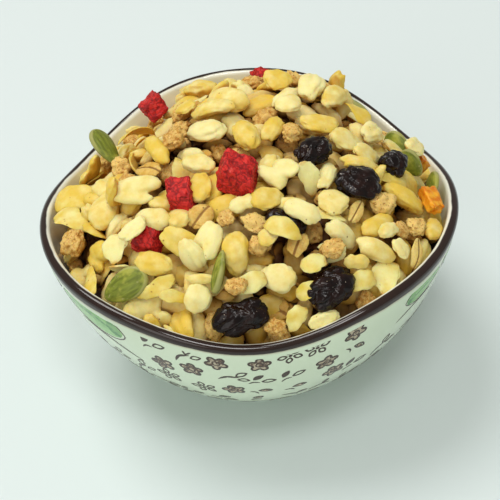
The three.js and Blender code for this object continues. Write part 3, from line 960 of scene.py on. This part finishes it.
def keep_in_bowl(balls, radii):
    """Pushes balls off the wall, and over the rim off its crest."""
    angle = np.arctan2(balls[:, 1], balls[:, 0])
    r = np.hypot(balls[:, 0], balls[:, 1])
    crest_r, crest_z = crest_line(angle)
    low = balls[:, 2] < crest_z
    over = np.where(low, np.maximum(r - (inner_radius(angle, balls[:, 2]) - radii), 0), 0)
    outwards = np.stack([np.cos(angle), np.sin(angle)], 1)
    pushed = balls.copy()
    pushed[:, :2] -= over[:, None] * outwards
    off = np.stack([r - crest_r, balls[:, 2] - crest_z], 1)
    gap = np.linalg.norm(off, axis=1)
    lack = np.where(~low, np.maximum(CREST + radii - gap, 0), 0) / np.maximum(gap, 1e-6)
    pushed[:, :2] += (off[:, 0] * lack)[:, None] * outwards
    pushed[:, 2] += off[:, 1] * lack
    return pushed


HIGHEST_PUSH = 1.5  # millimetres a round
SETTLING, HELD_BACK, STIFFNESS, HELD_STIFFNESS = 0.26, 0.25, 3.0, 40.0


class Packing:
    """Loose grains, each a stiff set of balls, that settle on the core, each other and the toppings.

    Grains that are held keep close to where they were laid.
    """

    def __init__(self, fixed_balls, fixed_radii):
        self.fixed, self.fixed_radii = fixed_balls, fixed_radii
        self.grains = []

    def add(self, shape, scale, place, turn, high, held=False):
        self.grains.append((shape, scale, place, turn, high, held))

    def gather(self):
        self.shapes, self.scales, places, turns, self.high, held = zip(*self.grains)
        self.owner = np.concatenate([np.full(len(s.balls), i) for i, s in enumerate(self.shapes)])
        self.local = np.concatenate([s.balls * k for s, k in zip(self.shapes, self.scales)])
        self.radii = np.concatenate([s.radii * k for s, k in zip(self.shapes, self.scales)])
        self.turn, self.centre = np.array(turns), np.array(places)
        self.count = np.bincount(self.owner).astype(float)
        self.held = np.array(held, float)
        self.hold = self.held[self.owner]
        self.first_turn, self.first_centre = self.turn.copy(), self.centre.copy()
        self.balls = self.laid()

    def laid(self):
        return self.centre[self.owner] + np.einsum("nij,nj->ni", self.turn[self.owner], self.local)

    def summed(self, values):
        return np.stack([np.bincount(self.owner, v, len(self.count)) for v in values.T], 1)

    def stiffen(self):
        """Turns each grain's balls back into its own shape, where they now lie."""
        self.centre = self.summed(self.balls) / self.count[:, None]
        off = self.balls - self.centre[self.owner]
        spread = self.summed((off[:, :, None] * self.local[:, None, :]).reshape(-1, 9)).reshape(-1, 3, 3)
        spread += STIFFNESS * self.turn + (HELD_STIFFNESS * self.held)[:, None, None] * self.first_turn
        u, _, vt = np.linalg.svd(spread)
        u[:, :, 2] *= np.sign(np.linalg.det(u @ vt))[:, None]
        self.turn = u @ vt
        self.balls = self.laid()

    def close_to(self, others, radii, margin=1.6):
        """Pairs of a ball and another ball that are close or overlap."""
        pairs = []
        for start in range(0, len(self.balls), 500):
            part = slice(start, start + 500)
            gap = np.linalg.norm(self.balls[part, None] - others[None], axis=2)
            i, j = np.nonzero(gap - (self.radii[part, None] + radii[None]) < margin)
            pairs.append(np.stack([i + start, j], 1))
        return np.concatenate(pairs)

    def neighbours(self):
        """Pairs of balls of different grains that are close, and pairs of a ball and a fixed one."""
        own = self.close_to(self.balls, self.radii)
        i, j = own.T
        return own[(i < j) & (self.owner[i] != self.owner[j])], self.close_to(self.fixed, self.fixed_radii)

    def push_apart(self, own, fixed):
        def parted(off, reach):
            gap = np.maximum(np.linalg.norm(off, axis=1), 1e-6)
            return off * (np.maximum(reach - gap, 0) / gap)[:, None]

        push = np.zeros_like(self.balls)
        i, j = own.T
        steps = parted(self.balls[i] - self.balls[j], self.radii[i] + self.radii[j])
        share = 0.5 + 0.25 * (self.hold[j] - self.hold[i])
        for axis, step in enumerate(steps.T):
            push[:, axis] += (np.bincount(i, step * share, len(push))
                              - np.bincount(j, step * (1 - share), len(push)))
        i, j = fixed.T
        steps = parted(self.balls[i] - self.fixed[j], self.radii[i] + self.fixed_radii[j])
        for axis, step in enumerate(steps.T):
            push[:, axis] += np.bincount(i, step, len(push))
        longest = np.maximum(np.linalg.norm(push, axis=1, keepdims=True), 1e-6)
        self.balls += 0.9 * push * np.minimum(1, HIGHEST_PUSH / longest)

    def lift_off_core(self):
        x, y, z = self.balls.T
        normal = muesli_normal(x, y)
        depth = (z - muesli_height(x, y)) * normal[:, 2] + CORE_DEPTH
        self.balls += np.maximum(self.radii - depth, 0)[:, None] * normal

    def settle(self, rounds):
        self.gather()
        for step in range(rounds):
            if step % 8 == 0:
                own, fixed = self.neighbours()
            pull = SETTLING * (1 - step / rounds) + 0.02
            downhill = muesli_normal(self.balls[:, 0], self.balls[:, 1])
            self.balls -= (pull * (1 - self.hold))[:, None] * downhill
            self.push_apart(own, fixed)
            self.lift_off_core()
            self.balls = keep_in_bowl(self.balls, self.radii)
            self.stiffen()
            self.balls += (HELD_BACK * self.hold)[:, None] * (self.first_centre - self.centre)[self.owner]


def upright_on(normal, spin, lean, lean_way):
    """Turn of a grain that lies on a slope, spun about the slope's normal and then leaned."""
    base = Vector((0, 0, 1)).rotation_difference(Vector(normal)).to_matrix()
    lean_axis = (math.cos(lean_way), math.sin(lean_way), 0)
    own = Matrix.Rotation(lean, 3, lean_axis) @ Matrix.Rotation(spin, 3, "Z")
    return np.array(base @ own)


def spread_over_heap(count, chance, draws=40, taken_places=()):
    """Places spread evenly over the heap: each is the roomiest of several draws."""
    places = [np.array(p) for p in taken_places]
    made = []
    for _ in range(count):
        angle = chance.uniform(0, 2 * math.pi, draws)
        r = EDGE_R * stretch(angle, EDGE_RISE) * np.sqrt(chance.random(draws))
        x, y = r * np.cos(angle), r * np.sin(angle)
        spots = np.stack([x, y, muesli_height(x, y)], 1)
        if places:
            room = np.linalg.norm(spots[:, None] - np.array(places)[None], axis=2).min(1)
        else:
            room = np.zeros(draws)
        best = spots[np.argmax(room)]
        places.append(best)
        made.append(best)
    return made


# ---------------------------------------------------------------- toppings: where the solids lie

# Place on the heap, size, turn, the share of the thickness that stands proud, and any lean.
TOPPINGS = {
    "raisin_1": ((17.6, -8.2), (11.6, 8.6, 7.6), 37, 0.8),
    "raisin_2": ((29, -15.8), (13.4, 10.6, 6.4), 4, 0.75),
    "raisin_3": ((38.8, -5), (9.4, 8.4, 7.4), 60, 0.75),
    "raisin_4": ((9.8, -28.6), (11, 8.4, 6.4), -10, 0.6),
    "raisin_5": ((-2.8, -46.4), (15.8, 9.8, 8.6), 12, 0.72),
    "raisin_6": ((20, -41.6), (13.4, 10.4, 8.0), 34, 0.75),
    "raisin_7": ((20, 46), (12.4, 9.6, 6.4), 150, 0.5),
    "strawberry_1": ((-2, -15.8), (10.6, 9.4, 9), -22, 0.75),
    "strawberry_2": ((-24.4, 26.6), (7.2, 6.6, 7), 35, 0.85),
    "strawberry_3": ((-16.6, -20), (7.6, 7, 6.2), -12, 0.7),
    "strawberry_4": ((-26.2, -27.8), (7.4, 6.4, 5.6), -18, 0.35),
    "strawberry_5": ((6.5, 48.6), (7.6, 6.6, 5.6), 20, 0.55),
    "pumpkin_seed_1": ((-36.8, 11.4), (12.6, 6.6, 2.8), 96, 1.9, (62, -58)),
    "pumpkin_seed_2": ((-31.4, -37), (13.4, 8, 3.2), 14, 0.8, (10, 4)),
    "pumpkin_seed_3": ((-7.6, -38.6), (11.2, 6.6, 2.8), -104, 1.1, (74, 0)),
    "pumpkin_seed_4": ((41.6, 9.4), (9.6, 6.2, 2.6), 140, 1.1, (78, 0)),
    "pumpkin_seed_5": ((44.2, 0.8), (8.6, 6.4, 2.6), 140, 1.1, (70, 0)),
    "pumpkin_seed_6": ((49.8, -2), (9, 6.2, 2.6), 86, 1.2, (66, 0)),
    "pumpkin_seed_7": ((31.5, 38.6), (11.6, 6.8, 2.8), -45, 0.9, (8, 0)),
    "papaya_1": ((47, 7), (6, 4.8, 4.4), 110, 0.9),
    "papaya_2": ((48, -11), (8.2, 5, 4.4), 108, 0.9),
}


def topping_place(name):
    """Turn and middle of a topping, as its solid lies on the heap."""
    (x, y), size, turn, proud, *lean = TOPPINGS[name]
    over_side, over_end = lean[0] if lean else (0, 0)
    normal = muesli_normal(np.float64(x), np.float64(y))
    base = Vector((0, 0, 1)).rotation_difference(Vector(normal)).to_matrix()
    own = (Matrix.Rotation(math.radians(turn), 3, "Z") @ Matrix.Rotation(math.radians(over_end), 3, "Y")
           @ Matrix.Rotation(math.radians(over_side), 3, "X"))
    middle = np.array([x, y, muesli_height(x, y)]) + normal * size[2] * (proud - 0.5)
    return np.array(base @ own), middle


def topping_balls():
    """Balls that stand for the toppings in the packing."""
    balls, radii = [], []
    for name, (_, size, *_) in TOPPINGS.items():
        turn, middle = topping_place(name)
        thick = size[2] / 2
        along, across = (np.linspace(-1, 1, max(1, round(s / size[2] * 1.5))) for s in size[:2])
        for i, j in itertools.product(along, across):
            if i * i + j * j <= 1.3:
                local = np.array([i * (size[0] / 2 - thick * 0.9), j * (size[1] / 2 - thick * 0.9), 0])
                balls.append(turn @ local + middle)
                radii.append(thick)
    return np.array(balls), np.array(radii)


# ---------------------------------------------------------------- the heap

SHARES = {"puffed_grains": 0.33, "stuck_grains": 0.1, "oat_flakes": 0.17, "thin_flakes": 0.26,
          "toasted_clusters": 0.14}
LOWER_LAYER, UPPER_LAYER = (235, -3.8, 24), (200, 2.0, 26)  # how many grains, their lift and leaning
LAID_LIFT, LAID_LEANING, LAID_FLAKE_LEANING = 0.9, 12, 20  # of the chosen grains
CRUMBS, CRUMB_LIFT = 260, (-3.5, 2.5)
SETTLING_ROUNDS = 90
CORE_EDGE, CORE_SHARES = 0.86, (0.6, 0.35, 0.15, 0.02)  # rings of the core's side, up the wall's section

# Grains that catch the eye, by kind: (x, y, turn, length, width), each on the heap's top, or lifted
# off it by a sixth number.
LAID_GRAINS = {
    "puffed_grains": (
        (-10.1, 3.4, 158, 12.4, 8), (1.1, -1.9, 105, 12.2, 6.9), (-7.9, 12.5, 166, 13.9, 6),
        (-15.9, 17.8, 148, 7.5, 5.4), (-3.7, 16.8, 143, 14, 7.7), (-22.6, -0.6, 112, 13.4, 4.9),
        (-11.7, -10.3, 163, 9.4, 5.7), (-11.6, -17.9, 79, 9.2, 6.9), (-24, -23.7, 156, 11.5, 6.1),
        (-24, -35, 161, 10.9, 6.3), (-3.6, -35.2, 95, 11.9, 7.1), (-13.3, -42.8, 56, 7.7, 7.1),
        (-11.5, -39.6, 174, 7.6, 2.8), (7, -40.1, 166, 9.8, 7.7), (-0.6, -24.3, 13, 7.5, 4.5),
        (20.3, 3, 9, 11.2, 7.7), (26.8, -0.9, 9, 9.9, 8), (32.3, -3.1, 15, 9.4, 6.9),
        (30.3, -9, 7, 11.5, 5.4), (34.9, 7.5, 62, 11.3, 6.8), (41.6, 9.2, 17, 9.5, 6.9),
        (52, 12.7, 63, 8.6, 7.4), (21.2, -14.4, 73, 9.8, 4.7), (22, -23.1, 129, 8.8, 8.5),
        (5.3, -22.8, 30, 9.8, 7.1), (41.5, -13.6, 171, 13.8, 7.4), (33.4, -25.3, 37, 11.5, 5.3),
        (23.8, -30.3, 154, 10.6, 5.4), (32.2, -32.4, 168, 11.7, 5.9), (48.6, -18.9, 56, 11.3, 5.3),
        (19.5, 20.7, 81, 12.8, 7.7), (10.2, 24.2, 10, 8.5, 7.4), (25.2, 18.5, 58, 12.5, 6.6),
        (12.4, 10.4, 11, 7.6, 6.9), (7.9, 1.5, 67, 10.1, 5.3), (11.4, -25.2, 170, 9.3, 4.3),
        (-27.2, -26.6, 35, 8.6, 5.8, 3.6), (43.6, 5.2, 70, 9.4, 6.2, 3.4), (13.8, -27.6, 152, 10.2, 5.6, 2.6),
        (18.0, -47.2, 21, 8.4, 5.0, 1.6), (26.7, -36.2, 179, 6.7, 4.2, 2.0),
        (37.8, -30.2, 140, 6.2, 4.4, 1.8), (35.3, -26.8, 35, 6.4, 4.2, 1.6), (5.8, -31.8, 41, 6.4, 4.8, 1.6),
    ),
    "stuck_grains": (
        (-18.1, 54.4, 124, 13.7, 7.4), (-28.4, -14.1, 167, 13.3, 8.6), (-17, -30.9, 138, 9.8, 7.1),
        (-9.9, -32, 56, 9.4, 7.5), (-44, 10, 129, 14, 8.6), (8.9, -14.9, 144, 11.1, 8.8),
        (20.3, -34.7, 4, 8.2, 5.5),
    ),
    "thin_flakes": (
        (-46.9, -1.6, 156, 14, 9.5), (-47.1, -10.9, 138, 14, 8.6), (-34.3, -27.4, 72, 8.8, 7.9),
        (-23.9, -39.4, 16, 11.7, 4.7), (-19, -41.8, 158, 8.1, 3.8), (-41.3, -31.5, 118, 14, 5.2),
        (-30.2, 14.4, 38, 11.5, 6.3), (16.5, -16.9, 115, 10.1, 5.9), (20.1, -26.6, 163, 11, 4.5),
        (34.1, -37.2, 79, 10.1, 7.8), (31.6, 15.4, 113, 10.1, 7.4), (39, -9.4, 14, 11.5, 4),
        (9.2, -31.2, 160, 10.5, 5.5, 3.2), (0.1, -41.0, 30, 9.5, 5.6, 1.6), (15.5, -37.8, 4, 7.0, 5.2, 2.2),
        (13.8, -42.4, 19, 6.6, 4.6, 2.0), (10.7, -46.8, 61, 7.4, 5.0, 1.6), (27.4, -39.6, 24, 8.0, 5.6, 1.4),
    ),
    "oat_flakes": (
        (-11.8, -25.7, 51, 7.5, 6.7), (-25.5, -7.6, 142, 9.5, 6.3), (43.1, -28.6, 86, 9.2, 5.1),
        (12.5, -33.7, 69, 7.5, 5.4), (27.8, -23.6, 65, 8.6, 4),
    ),
    "toasted_clusters": (
        (-46.5, -18.7, 165, 8.9, 8), (-19, 1.4, 60, 8.6, 8.6), (-5, -26.8, 81, 5.1, 5),
        (35.1, -18.9, 12, 8, 6.8), (2.1, -28.8, 167, 8, 5.6), (13.3, 0.2, 86, 7.1, 5.7),
        (43.6, -21.7, 24, 6.5, 5.8), (39.3, -24.7, 177, 6.3, 4.8),
        (20.6, -34.2, 26, 7.3, 5.6, 2.2), (6.1, -48.2, 162, 6.0, 4.8, 1.4),
    ),
}


def lay_chosen_grains(packing, shapes, chance):
    """Lays the chosen grains, each of a shape whose proportions come near."""
    spots = []
    for kind, laid in LAID_GRAINS.items():
        for x, y, spin, length, width, *lifted in laid:
            fitting = sorted((s for s in shapes if s.kind == kind),
                             key=lambda s: abs(s.half[1] / s.half[0] - width / length))
            shape = fitting[chance.integers(min(3, len(fitting)))].sized(length, width)
            place = np.array([x, y, muesli_height(x, y)])
            normal = muesli_normal(np.float64(x), np.float64(y))
            leaning = LAID_FLAKE_LEANING if kind == "thin_flakes" else LAID_LEANING
            lean = abs(chance.normal(0, math.radians(leaning)))
            turn = upright_on(normal, math.radians(spin), lean, chance.uniform(0, 2 * math.pi))
            packing.add(shape, 1.0, place + (LAID_LIFT + sum(lifted)) * normal, turn, True, True)
            spots.append(place)
    return spots


def draw_shape(shapes, kind, chance):
    fitting = [s for s in shapes if s.kind == kind]
    return fitting[chance.integers(len(fitting))]


def lay_grains(packing, shapes, layer, chance, high, taken_places=()):
    """Lays one layer of grains of every kind, evenly over the heap."""
    count, lift, leaning = layer
    kinds = chance.choice(list(SHARES), count, p=list(SHARES.values()))
    for place, kind in zip(spread_over_heap(count, chance, 40, taken_places), kinds):
        normal = muesli_normal(place[0], place[1])
        lean = abs(chance.normal(0, math.radians(leaning * (1.5 if kind == "thin_flakes" else 1))))
        turn = upright_on(normal, chance.uniform(0, 2 * math.pi), lean, chance.uniform(0, 2 * math.pi))
        spot = place + normal * (lift + chance.uniform(-0.8, 0.8))
        packing.add(draw_shape(shapes, kind, chance), chance.uniform(0.84, 1.12), spot, turn, high)


def grain_piece(name, packing, kind, upper, chance):
    """The upper or lower grains of a kind as one mesh, each with its own tone and own coordinates."""
    parts, tones, own = [], [], []
    for shape, scale, place, turn, high in zip(packing.shapes, packing.scales, packing.centre,
                                               packing.turn, packing.high):
        if shape.kind == kind and high == upper:
            parts.append((shape.points * scale @ turn.T + place, shape.faces))
            tones.append(np.full(len(shape.points), chance.random()))
            own.append(shape.points / shape.half)
    points, faces = joined(parts)
    piece = mesh_piece(name, points, faces, "muesli")
    mark(piece, "tone", np.concatenate(tones))
    mark_grain(piece, points, np.concatenate(own))
    smooth(piece)
    return piece


def mark_grain(piece, points, own):
    """Keeps each point's place in its grain, its depth under the heap's top and how far it faces out;
    the grains' finishes paint shade from the last two.
    """
    normal = muesli_normal(points[:, 0], points[:, 1])
    mark(piece, "grain", own)
    mark(piece, "depth", (muesli_height(points[:, 0], points[:, 1]) + 2 - points[:, 2]) * normal[:, 2])
    faced = np.empty(3 * len(points))
    piece.data.vertex_normals.foreach_get("vector", faced)
    mark(piece, "facing", (faced.reshape(-1, 3) * normal).sum(1))


def heap_core():
    """The core under the loose grains, down to the bowl's floor, near-black brown as painted shade in the
    gaps.
    """
    clear_selection()
    bpy.ops.mesh.primitive_circle_add(vertices=96, radius=1, fill_type="TRIFAN")
    core = taken("muesli_core")
    with editing():
        bpy.ops.mesh.subdivide(number_cuts=5)
        bpy.ops.mesh.select_all(action="SELECT")
        bpy.ops.mesh.region_to_loop()
        for _ in CORE_SHARES:
            bpy.ops.mesh.extrude_region_move(TRANSFORM_OT_translate={"value": (0, 0, -1)})
        bpy.ops.mesh.edge_face_add()
    tidy_mesh(core, 1e-4)
    x, y, z = points_of(core).T
    level = np.rint(-z).astype(int)
    angle, out = np.arctan2(y, x), np.hypot(x, y)
    share = np.array([CORE_EDGE, *CORE_SHARES])[level]
    r, z, rise = wall_point(share, wall_thickness(share) + WALL_GAP)
    z = z + rise * rim_wave(angle)
    reach = out * r * stretch(angle, rise)
    x, y = reach * np.cos(angle), reach * np.sin(angle)
    dome = np.maximum(muesli_height(x, y) - CORE_DEPTH, z - 3)
    z = np.where(level == 0, dome * (1 - out**6) + z * out**6, z)
    set_points_mm(core, np.stack([x, y, z], 1))
    top = core.vertex_groups.new(name="top")
    top.add([int(i) for i in np.nonzero((level == 0) & (out < 0.97))[0]], 1.0, "REPLACE")
    crumb = clouds_texture("core_crumb", 0.004, noise_depth=1)
    apply_modifier(core, "DISPLACE", texture=crumb, strength=0.0035, mid_level=0.5,
                   direction="Z", texture_coords="LOCAL", vertex_group="top")
    smooth(core)
    ride(core, "muesli", "muesli_heap")
    # painted shade: the core is near-black brown so that the gaps between the grains look shadowed
    crumbs = Finish("painted_shade_core", 0.85)
    crumbs.colour(crumbs.blend(crumbs.clouds(2.2, 5, 0.35, 0.7), "241006", "57330f"))
    crumbs.bump(crumbs.noise(1.1, 4), 0.5).on(core)


GRAIN_SKIN = {"Specular_IOR_Level": 0.22, "Subsurface_Weight": 0.3, "Subsurface_Scale": 0.0018,
              "Subsurface_Radius": (1.0, 0.55, 0.15)}
# near-black brown, painted shade on the grains deepest in the heap
PAINTED_DEEP_SHADE = "3e1a04"
# Material, its colours (dark, light, specks, toasted ends, and the painted shade of undersides and
# deep grains), roughness, where the toasted ends begin, how dark the crease is and how gritty the face is.
GRAIN_LOOKS = {
    "puffed_grains": (
        "puffed_grain", ("e3c24c", "f1e8a6", "7d4c16", "d99f36", "cc8414"), 0.55, 0.9, 0.0, 0.0),
    "stuck_grains": (
        "stuck_grain", ("e4c650", "f1e8a4", "7d4c16", "d99f36", "cc8414"), 0.55, 0.9, 0.0, 0.0),
    "oat_flakes": (
        "rolled_oat", ("cf9e3e", "eed482", "7a4816", "b87a30", "b5782c"), 0.6, 0.8, 0.8, 0.3),
    "thin_flakes": (
        "thin_flake", ("e3c24a", "f2e9a2", "a8762c", "d2952f", "cc8414"), 0.5, 0.72, 0.0, 0.0),
    "toasted_clusters": (
        "toasted_cluster", ("bb8230", "eac878", "6a3d12", "9c621c", "a0621a"), 0.7, 0.9, 0.0, 0.8),
    "crumbs": (
        "crumb", ("d09a34", "f0dc90", "6e4214", "a9702a", "cc8414"), 0.7, 0.9, 0.0, 0.0),
}


def grain_finish(kind):
    """Finish of a kind of grain: own tones, specks, toasted ends, a darker crease, and painted shade
    on the sides that face away from the heap's top and on the grains deep in it.
    """
    name, (dark, light, specks, toast, shade), roughness, toast_from, crease, grit = GRAIN_LOOKS[kind]
    skin = Finish(name, roughness, **GRAIN_SKIN)
    tone = skin.attribute("tone")
    along, across = skin.own_place()
    mottle = skin.plus(skin.times(skin.noise(3.2, 4), 1.1), skin.times(tone, 0.6))
    body = skin.blend(skin.between(mottle, 0.45, 1.25), dark, light)
    if grit:
        body = skin.blend(skin.times(skin.clouds(0.9, 3, 0.36, 0.62, 0.6), grit), body, light)
        body = skin.blend(skin.times(skin.clouds(0.7, 2, 0.56, 0.68, 0.6, 0.3), grit), body, toast)
    speck = skin.times(skin.between(skin.cells(1.5), 0.24, 0.12), skin.clouds(4.0, 2, 0.62, 0.68))
    body = skin.blend(skin.times(speck, 0.75), body, specks)
    rag = skin.times(skin.math("SUBTRACT", skin.noise(2.0, 3), 0.5), 0.6)
    end = skin.plus(skin.math("ABSOLUTE", along), rag)
    toasted = skin.times(skin.between(end, toast_from, toast_from + 0.35),
                         skin.between(tone, 0.15, 0.8, 0.25, 0.9))
    body = skin.blend(toasted, body, toast)
    if crease:
        middle = skin.plus(skin.math("ABSOLUTE", across), skin.times(rag, 0.25))
        body = skin.blend(skin.between(middle, 0.16, 0.05, 0.0, crease), body, specks)
    # painted shade: sides facing away from the heap's top, and grains deep in it, blend to the shade colour,
    # the deepest to near-black
    depth = skin.attribute("depth")
    body = skin.blend(skin.between(skin.attribute("facing"), 0.4, -0.7, 0.0, 0.65), body, shade)
    body = skin.blend(skin.between(depth, 2.6, 8.0, 0.0, 0.66), body, shade)
    skin.colour(skin.blend(skin.between(depth, 5.2, 8.2, 0.0, 0.97), body, PAINTED_DEEP_SHADE))
    return skin.bump(skin.noise(1.3, 4), 0.2, 0.8).bump(skin.noise(0.35, 2), 0.05 + 0.1 * grit, 0.7)


def heap():
    chance = np.random.default_rng(5)
    shapes = grain_shapes(chance)
    packing = Packing(*topping_balls())
    spots = lay_chosen_grains(packing, shapes, chance)
    lay_grains(packing, shapes, LOWER_LAYER, chance, False)
    lay_grains(packing, shapes, UPPER_LAYER, chance, True, spots)
    for place in spread_over_heap(CRUMBS, chance, draws=4):
        normal = muesli_normal(place[0], place[1])
        spot = place + normal * chance.uniform(*CRUMB_LIFT)
        turn = upright_on(normal, chance.uniform(0, 6.28), chance.uniform(0, 3), chance.uniform(0, 6.28))
        packing.add(draw_shape(shapes, "crumbs", chance), chance.uniform(0.7, 1.2), spot, turn, True)
    packing.settle(SETTLING_ROUNDS)

    for kind in SHARES:
        finish = grain_finish(kind)
        for layer, upper in (("upper", True), ("lower", False)):
            finish.on(grain_piece(f"{kind}_{layer}", packing, kind, upper, chance))
    grain_finish("crumbs").on(grain_piece("crumbs", packing, "crumbs", True, chance))
    heap_core()


# ---------------------------------------------------------------- toppings

WAISTS = {"raisin_5": 0.22}  # this raisin is two-lobed, the others hardly


def dress_topping(name, shape, slot):
    points, faces = shape
    turn, middle = topping_place(name)
    laid = points @ turn.T + middle
    piece = mesh_piece(name + "_dressed", laid, faces, slot)
    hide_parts(name)
    mark_grain(piece, laid, points / ((points.max(0) - points.min(0)) / 2))
    smooth(piece)
    return piece


def raisin_finish():
    """Dark wrinkled skin with a few pale specks, sugar crystals that also serve as painted glints."""
    raisin = Finish("raisin_skin", 0.2, Specular_IOR_Level=0.26)
    skin = raisin.blend(raisin.clouds(2.5, 4, 0.35, 0.75), "0c0303", "24100b")
    # pale specks: sugar crystals and painted glints
    crystals_and_painted_glints = raisin.times(raisin.between(raisin.cells(0.8), 0.2, 0.1), raisin.clouds(3.4, 2, 0.56, 0.64))
    raisin.colour(raisin.blend(raisin.times(crystals_and_painted_glints, 0.7), skin, "d9c9b4"))
    raisin.bump(raisin.folds(4.2), 0.9, 0.7).bump(raisin.folds(1.7), 0.25, 0.5)
    return raisin.bump(raisin.noise(0.5, 3), 0.05, 0.5)


def strawberry_finish():
    """Freeze-dried flesh: red, with painted shade in its grooves and pale worn patches."""
    flesh = Finish("dried_strawberry", 0.55, Specular_IOR_Level=0.3, Subsurface_Weight=0.12,
                   Subsurface_Scale=0.001, Subsurface_Radius=(1.0, 0.15, 0.1))
    red = flesh.blend(flesh.clouds(1.4, 5, 0.3, 0.7, 0.65), "ac1216", "e4332c")
    # painted shade: the bottoms of the bumped grooves are darkened
    painted_groove_shade = flesh.times(flesh.between(flesh.folds(2.2), 0.07, 0.01), 0.6)
    pale = flesh.times(flesh.clouds(2.2, 4, 0.64, 0.76), 0.55)
    flesh.colour(flesh.blend(pale, flesh.blend(painted_groove_shade, red, "5c0810"), "f0786a"))
    flesh.bump(flesh.folds(2.2), 1.2, 0.8).bump(flesh.cells(0.9), 0.35, 0.7)
    return flesh.bump(flesh.noise(0.5, 4), 0.2, 0.8)


def seed_finish():
    """Green skin streaked along the seed, with paler patches, rubbed spots and a pale rim."""
    seed = Finish("pumpkin_seed_skin", 0.42, Specular_IOR_Level=0.35)
    along, across = seed.own_place()
    radius = seed.math("POWER", seed.plus(seed.times(along, along), seed.times(across, across)), 0.5)
    skin = seed.blend(seed.between(seed.streaks(1.0, 5.0), 0.3, 0.75), "626c1e", "848f2f")
    skin = seed.blend(seed.times(seed.clouds(4.5, 3, 0.5, 0.68), 0.7), skin, "b2b148")
    skin = seed.blend(seed.times(seed.clouds(1.6, 4, 0.6, 0.72, 0.6), 0.5), skin, "c4b884")
    seed.colour(seed.blend(seed.between(radius, 0.86, 0.95, 0.0, 0.8), skin, "a8a662"))
    return seed.bump(seed.streaks(1.0, 5.0), 0.2, 0.6).bump(seed.noise(0.8, 3), 0.12, 0.7)


def papaya_finish():
    papaya = Finish("dried_papaya", 0.4, Specular_IOR_Level=0.35, Subsurface_Weight=0.4,
                    Subsurface_Scale=0.0018, Subsurface_Radius=(1.0, 0.45, 0.1))
    papaya.colour(papaya.blend(papaya.clouds(2.2, 3, 0.35, 0.65), "d9780c", "f3b02e"))
    return papaya.bump(papaya.folds(2.0), 0.5, 0.7).bump(papaya.noise(0.8, 3), 0.2, 0.6)


def toppings():
    soft = clouds_texture("topping_lumps", 0.9)
    rough = clouds_texture("topping_crumb", 0.22, noise_depth=2)
    finishes = {"raisin": raisin_finish(), "strawberry": strawberry_finish(),
                "pumpkin_seed": seed_finish(), "papaya": papaya_finish()}
    chance = np.random.default_rng(21)
    for spot, (name, (_, size, *_)) in enumerate(TOPPINGS.items()):
        kind = name.rsplit("_", 1)[0]
        if kind == "raisin":
            lobes = waisted(WAISTS.get(name, 0.08), 0.1, 0.25)
            shape = shape_blank(
                grain_blank(name, spot, 5), size, chance.uniform(-0.3, 0.3), 0,
                ((soft, 0.4), (rough, 0.03)), puckered(chance.uniform(0.1, 0.16), chance, lobes))
        elif kind == "pumpkin_seed":
            shape = shape_blank(grain_blank(name, spot, 4), size, 0.5, 0, ((rough, 0.04),), seed_press)
        else:
            shape = shape_blank(dice_blank(name, spot), size, 0, 0, ((soft, 0.42), (rough, 0.26)),
                                uneven(chance))
        finishes[kind].on(dress_topping(name, shape, kind))


def seed_press(points):
    """Flattens a ball into a seed with a rounded bead along its rim."""
    radius = np.hypot(points[:, 0], points[:, 1])
    bead = np.exp(-((radius - 0.93) / 0.06) ** 2)
    belly = np.sqrt(np.clip(1 - radius**2, 0, 1)) * 0.75 + 0.25 * (1 - radius**4)
    points[:, 2] = np.sign(points[:, 2]) * np.abs(belly + 0.12 * bead * (np.abs(points[:, 2]) > 0.02))
    return points


def dice_blank(name, spot):
    """A cube with its edges rounded, off to one side like the balls."""
    clear_selection()
    bpy.ops.mesh.primitive_cube_add(size=1.8, location=(BLANK_STEP * spot, 3, 0))
    piece = taken(name)
    with editing():
        bpy.ops.mesh.bevel(offset=0.22, segments=3)
        bpy.ops.mesh.subdivide(number_cuts=6)
    tidy_mesh(piece, 1e-4)
    return piece


# ---------------------------------------------------------------- the whole

studio()
bowl_body()
bowl_print()
heap()
toppings()
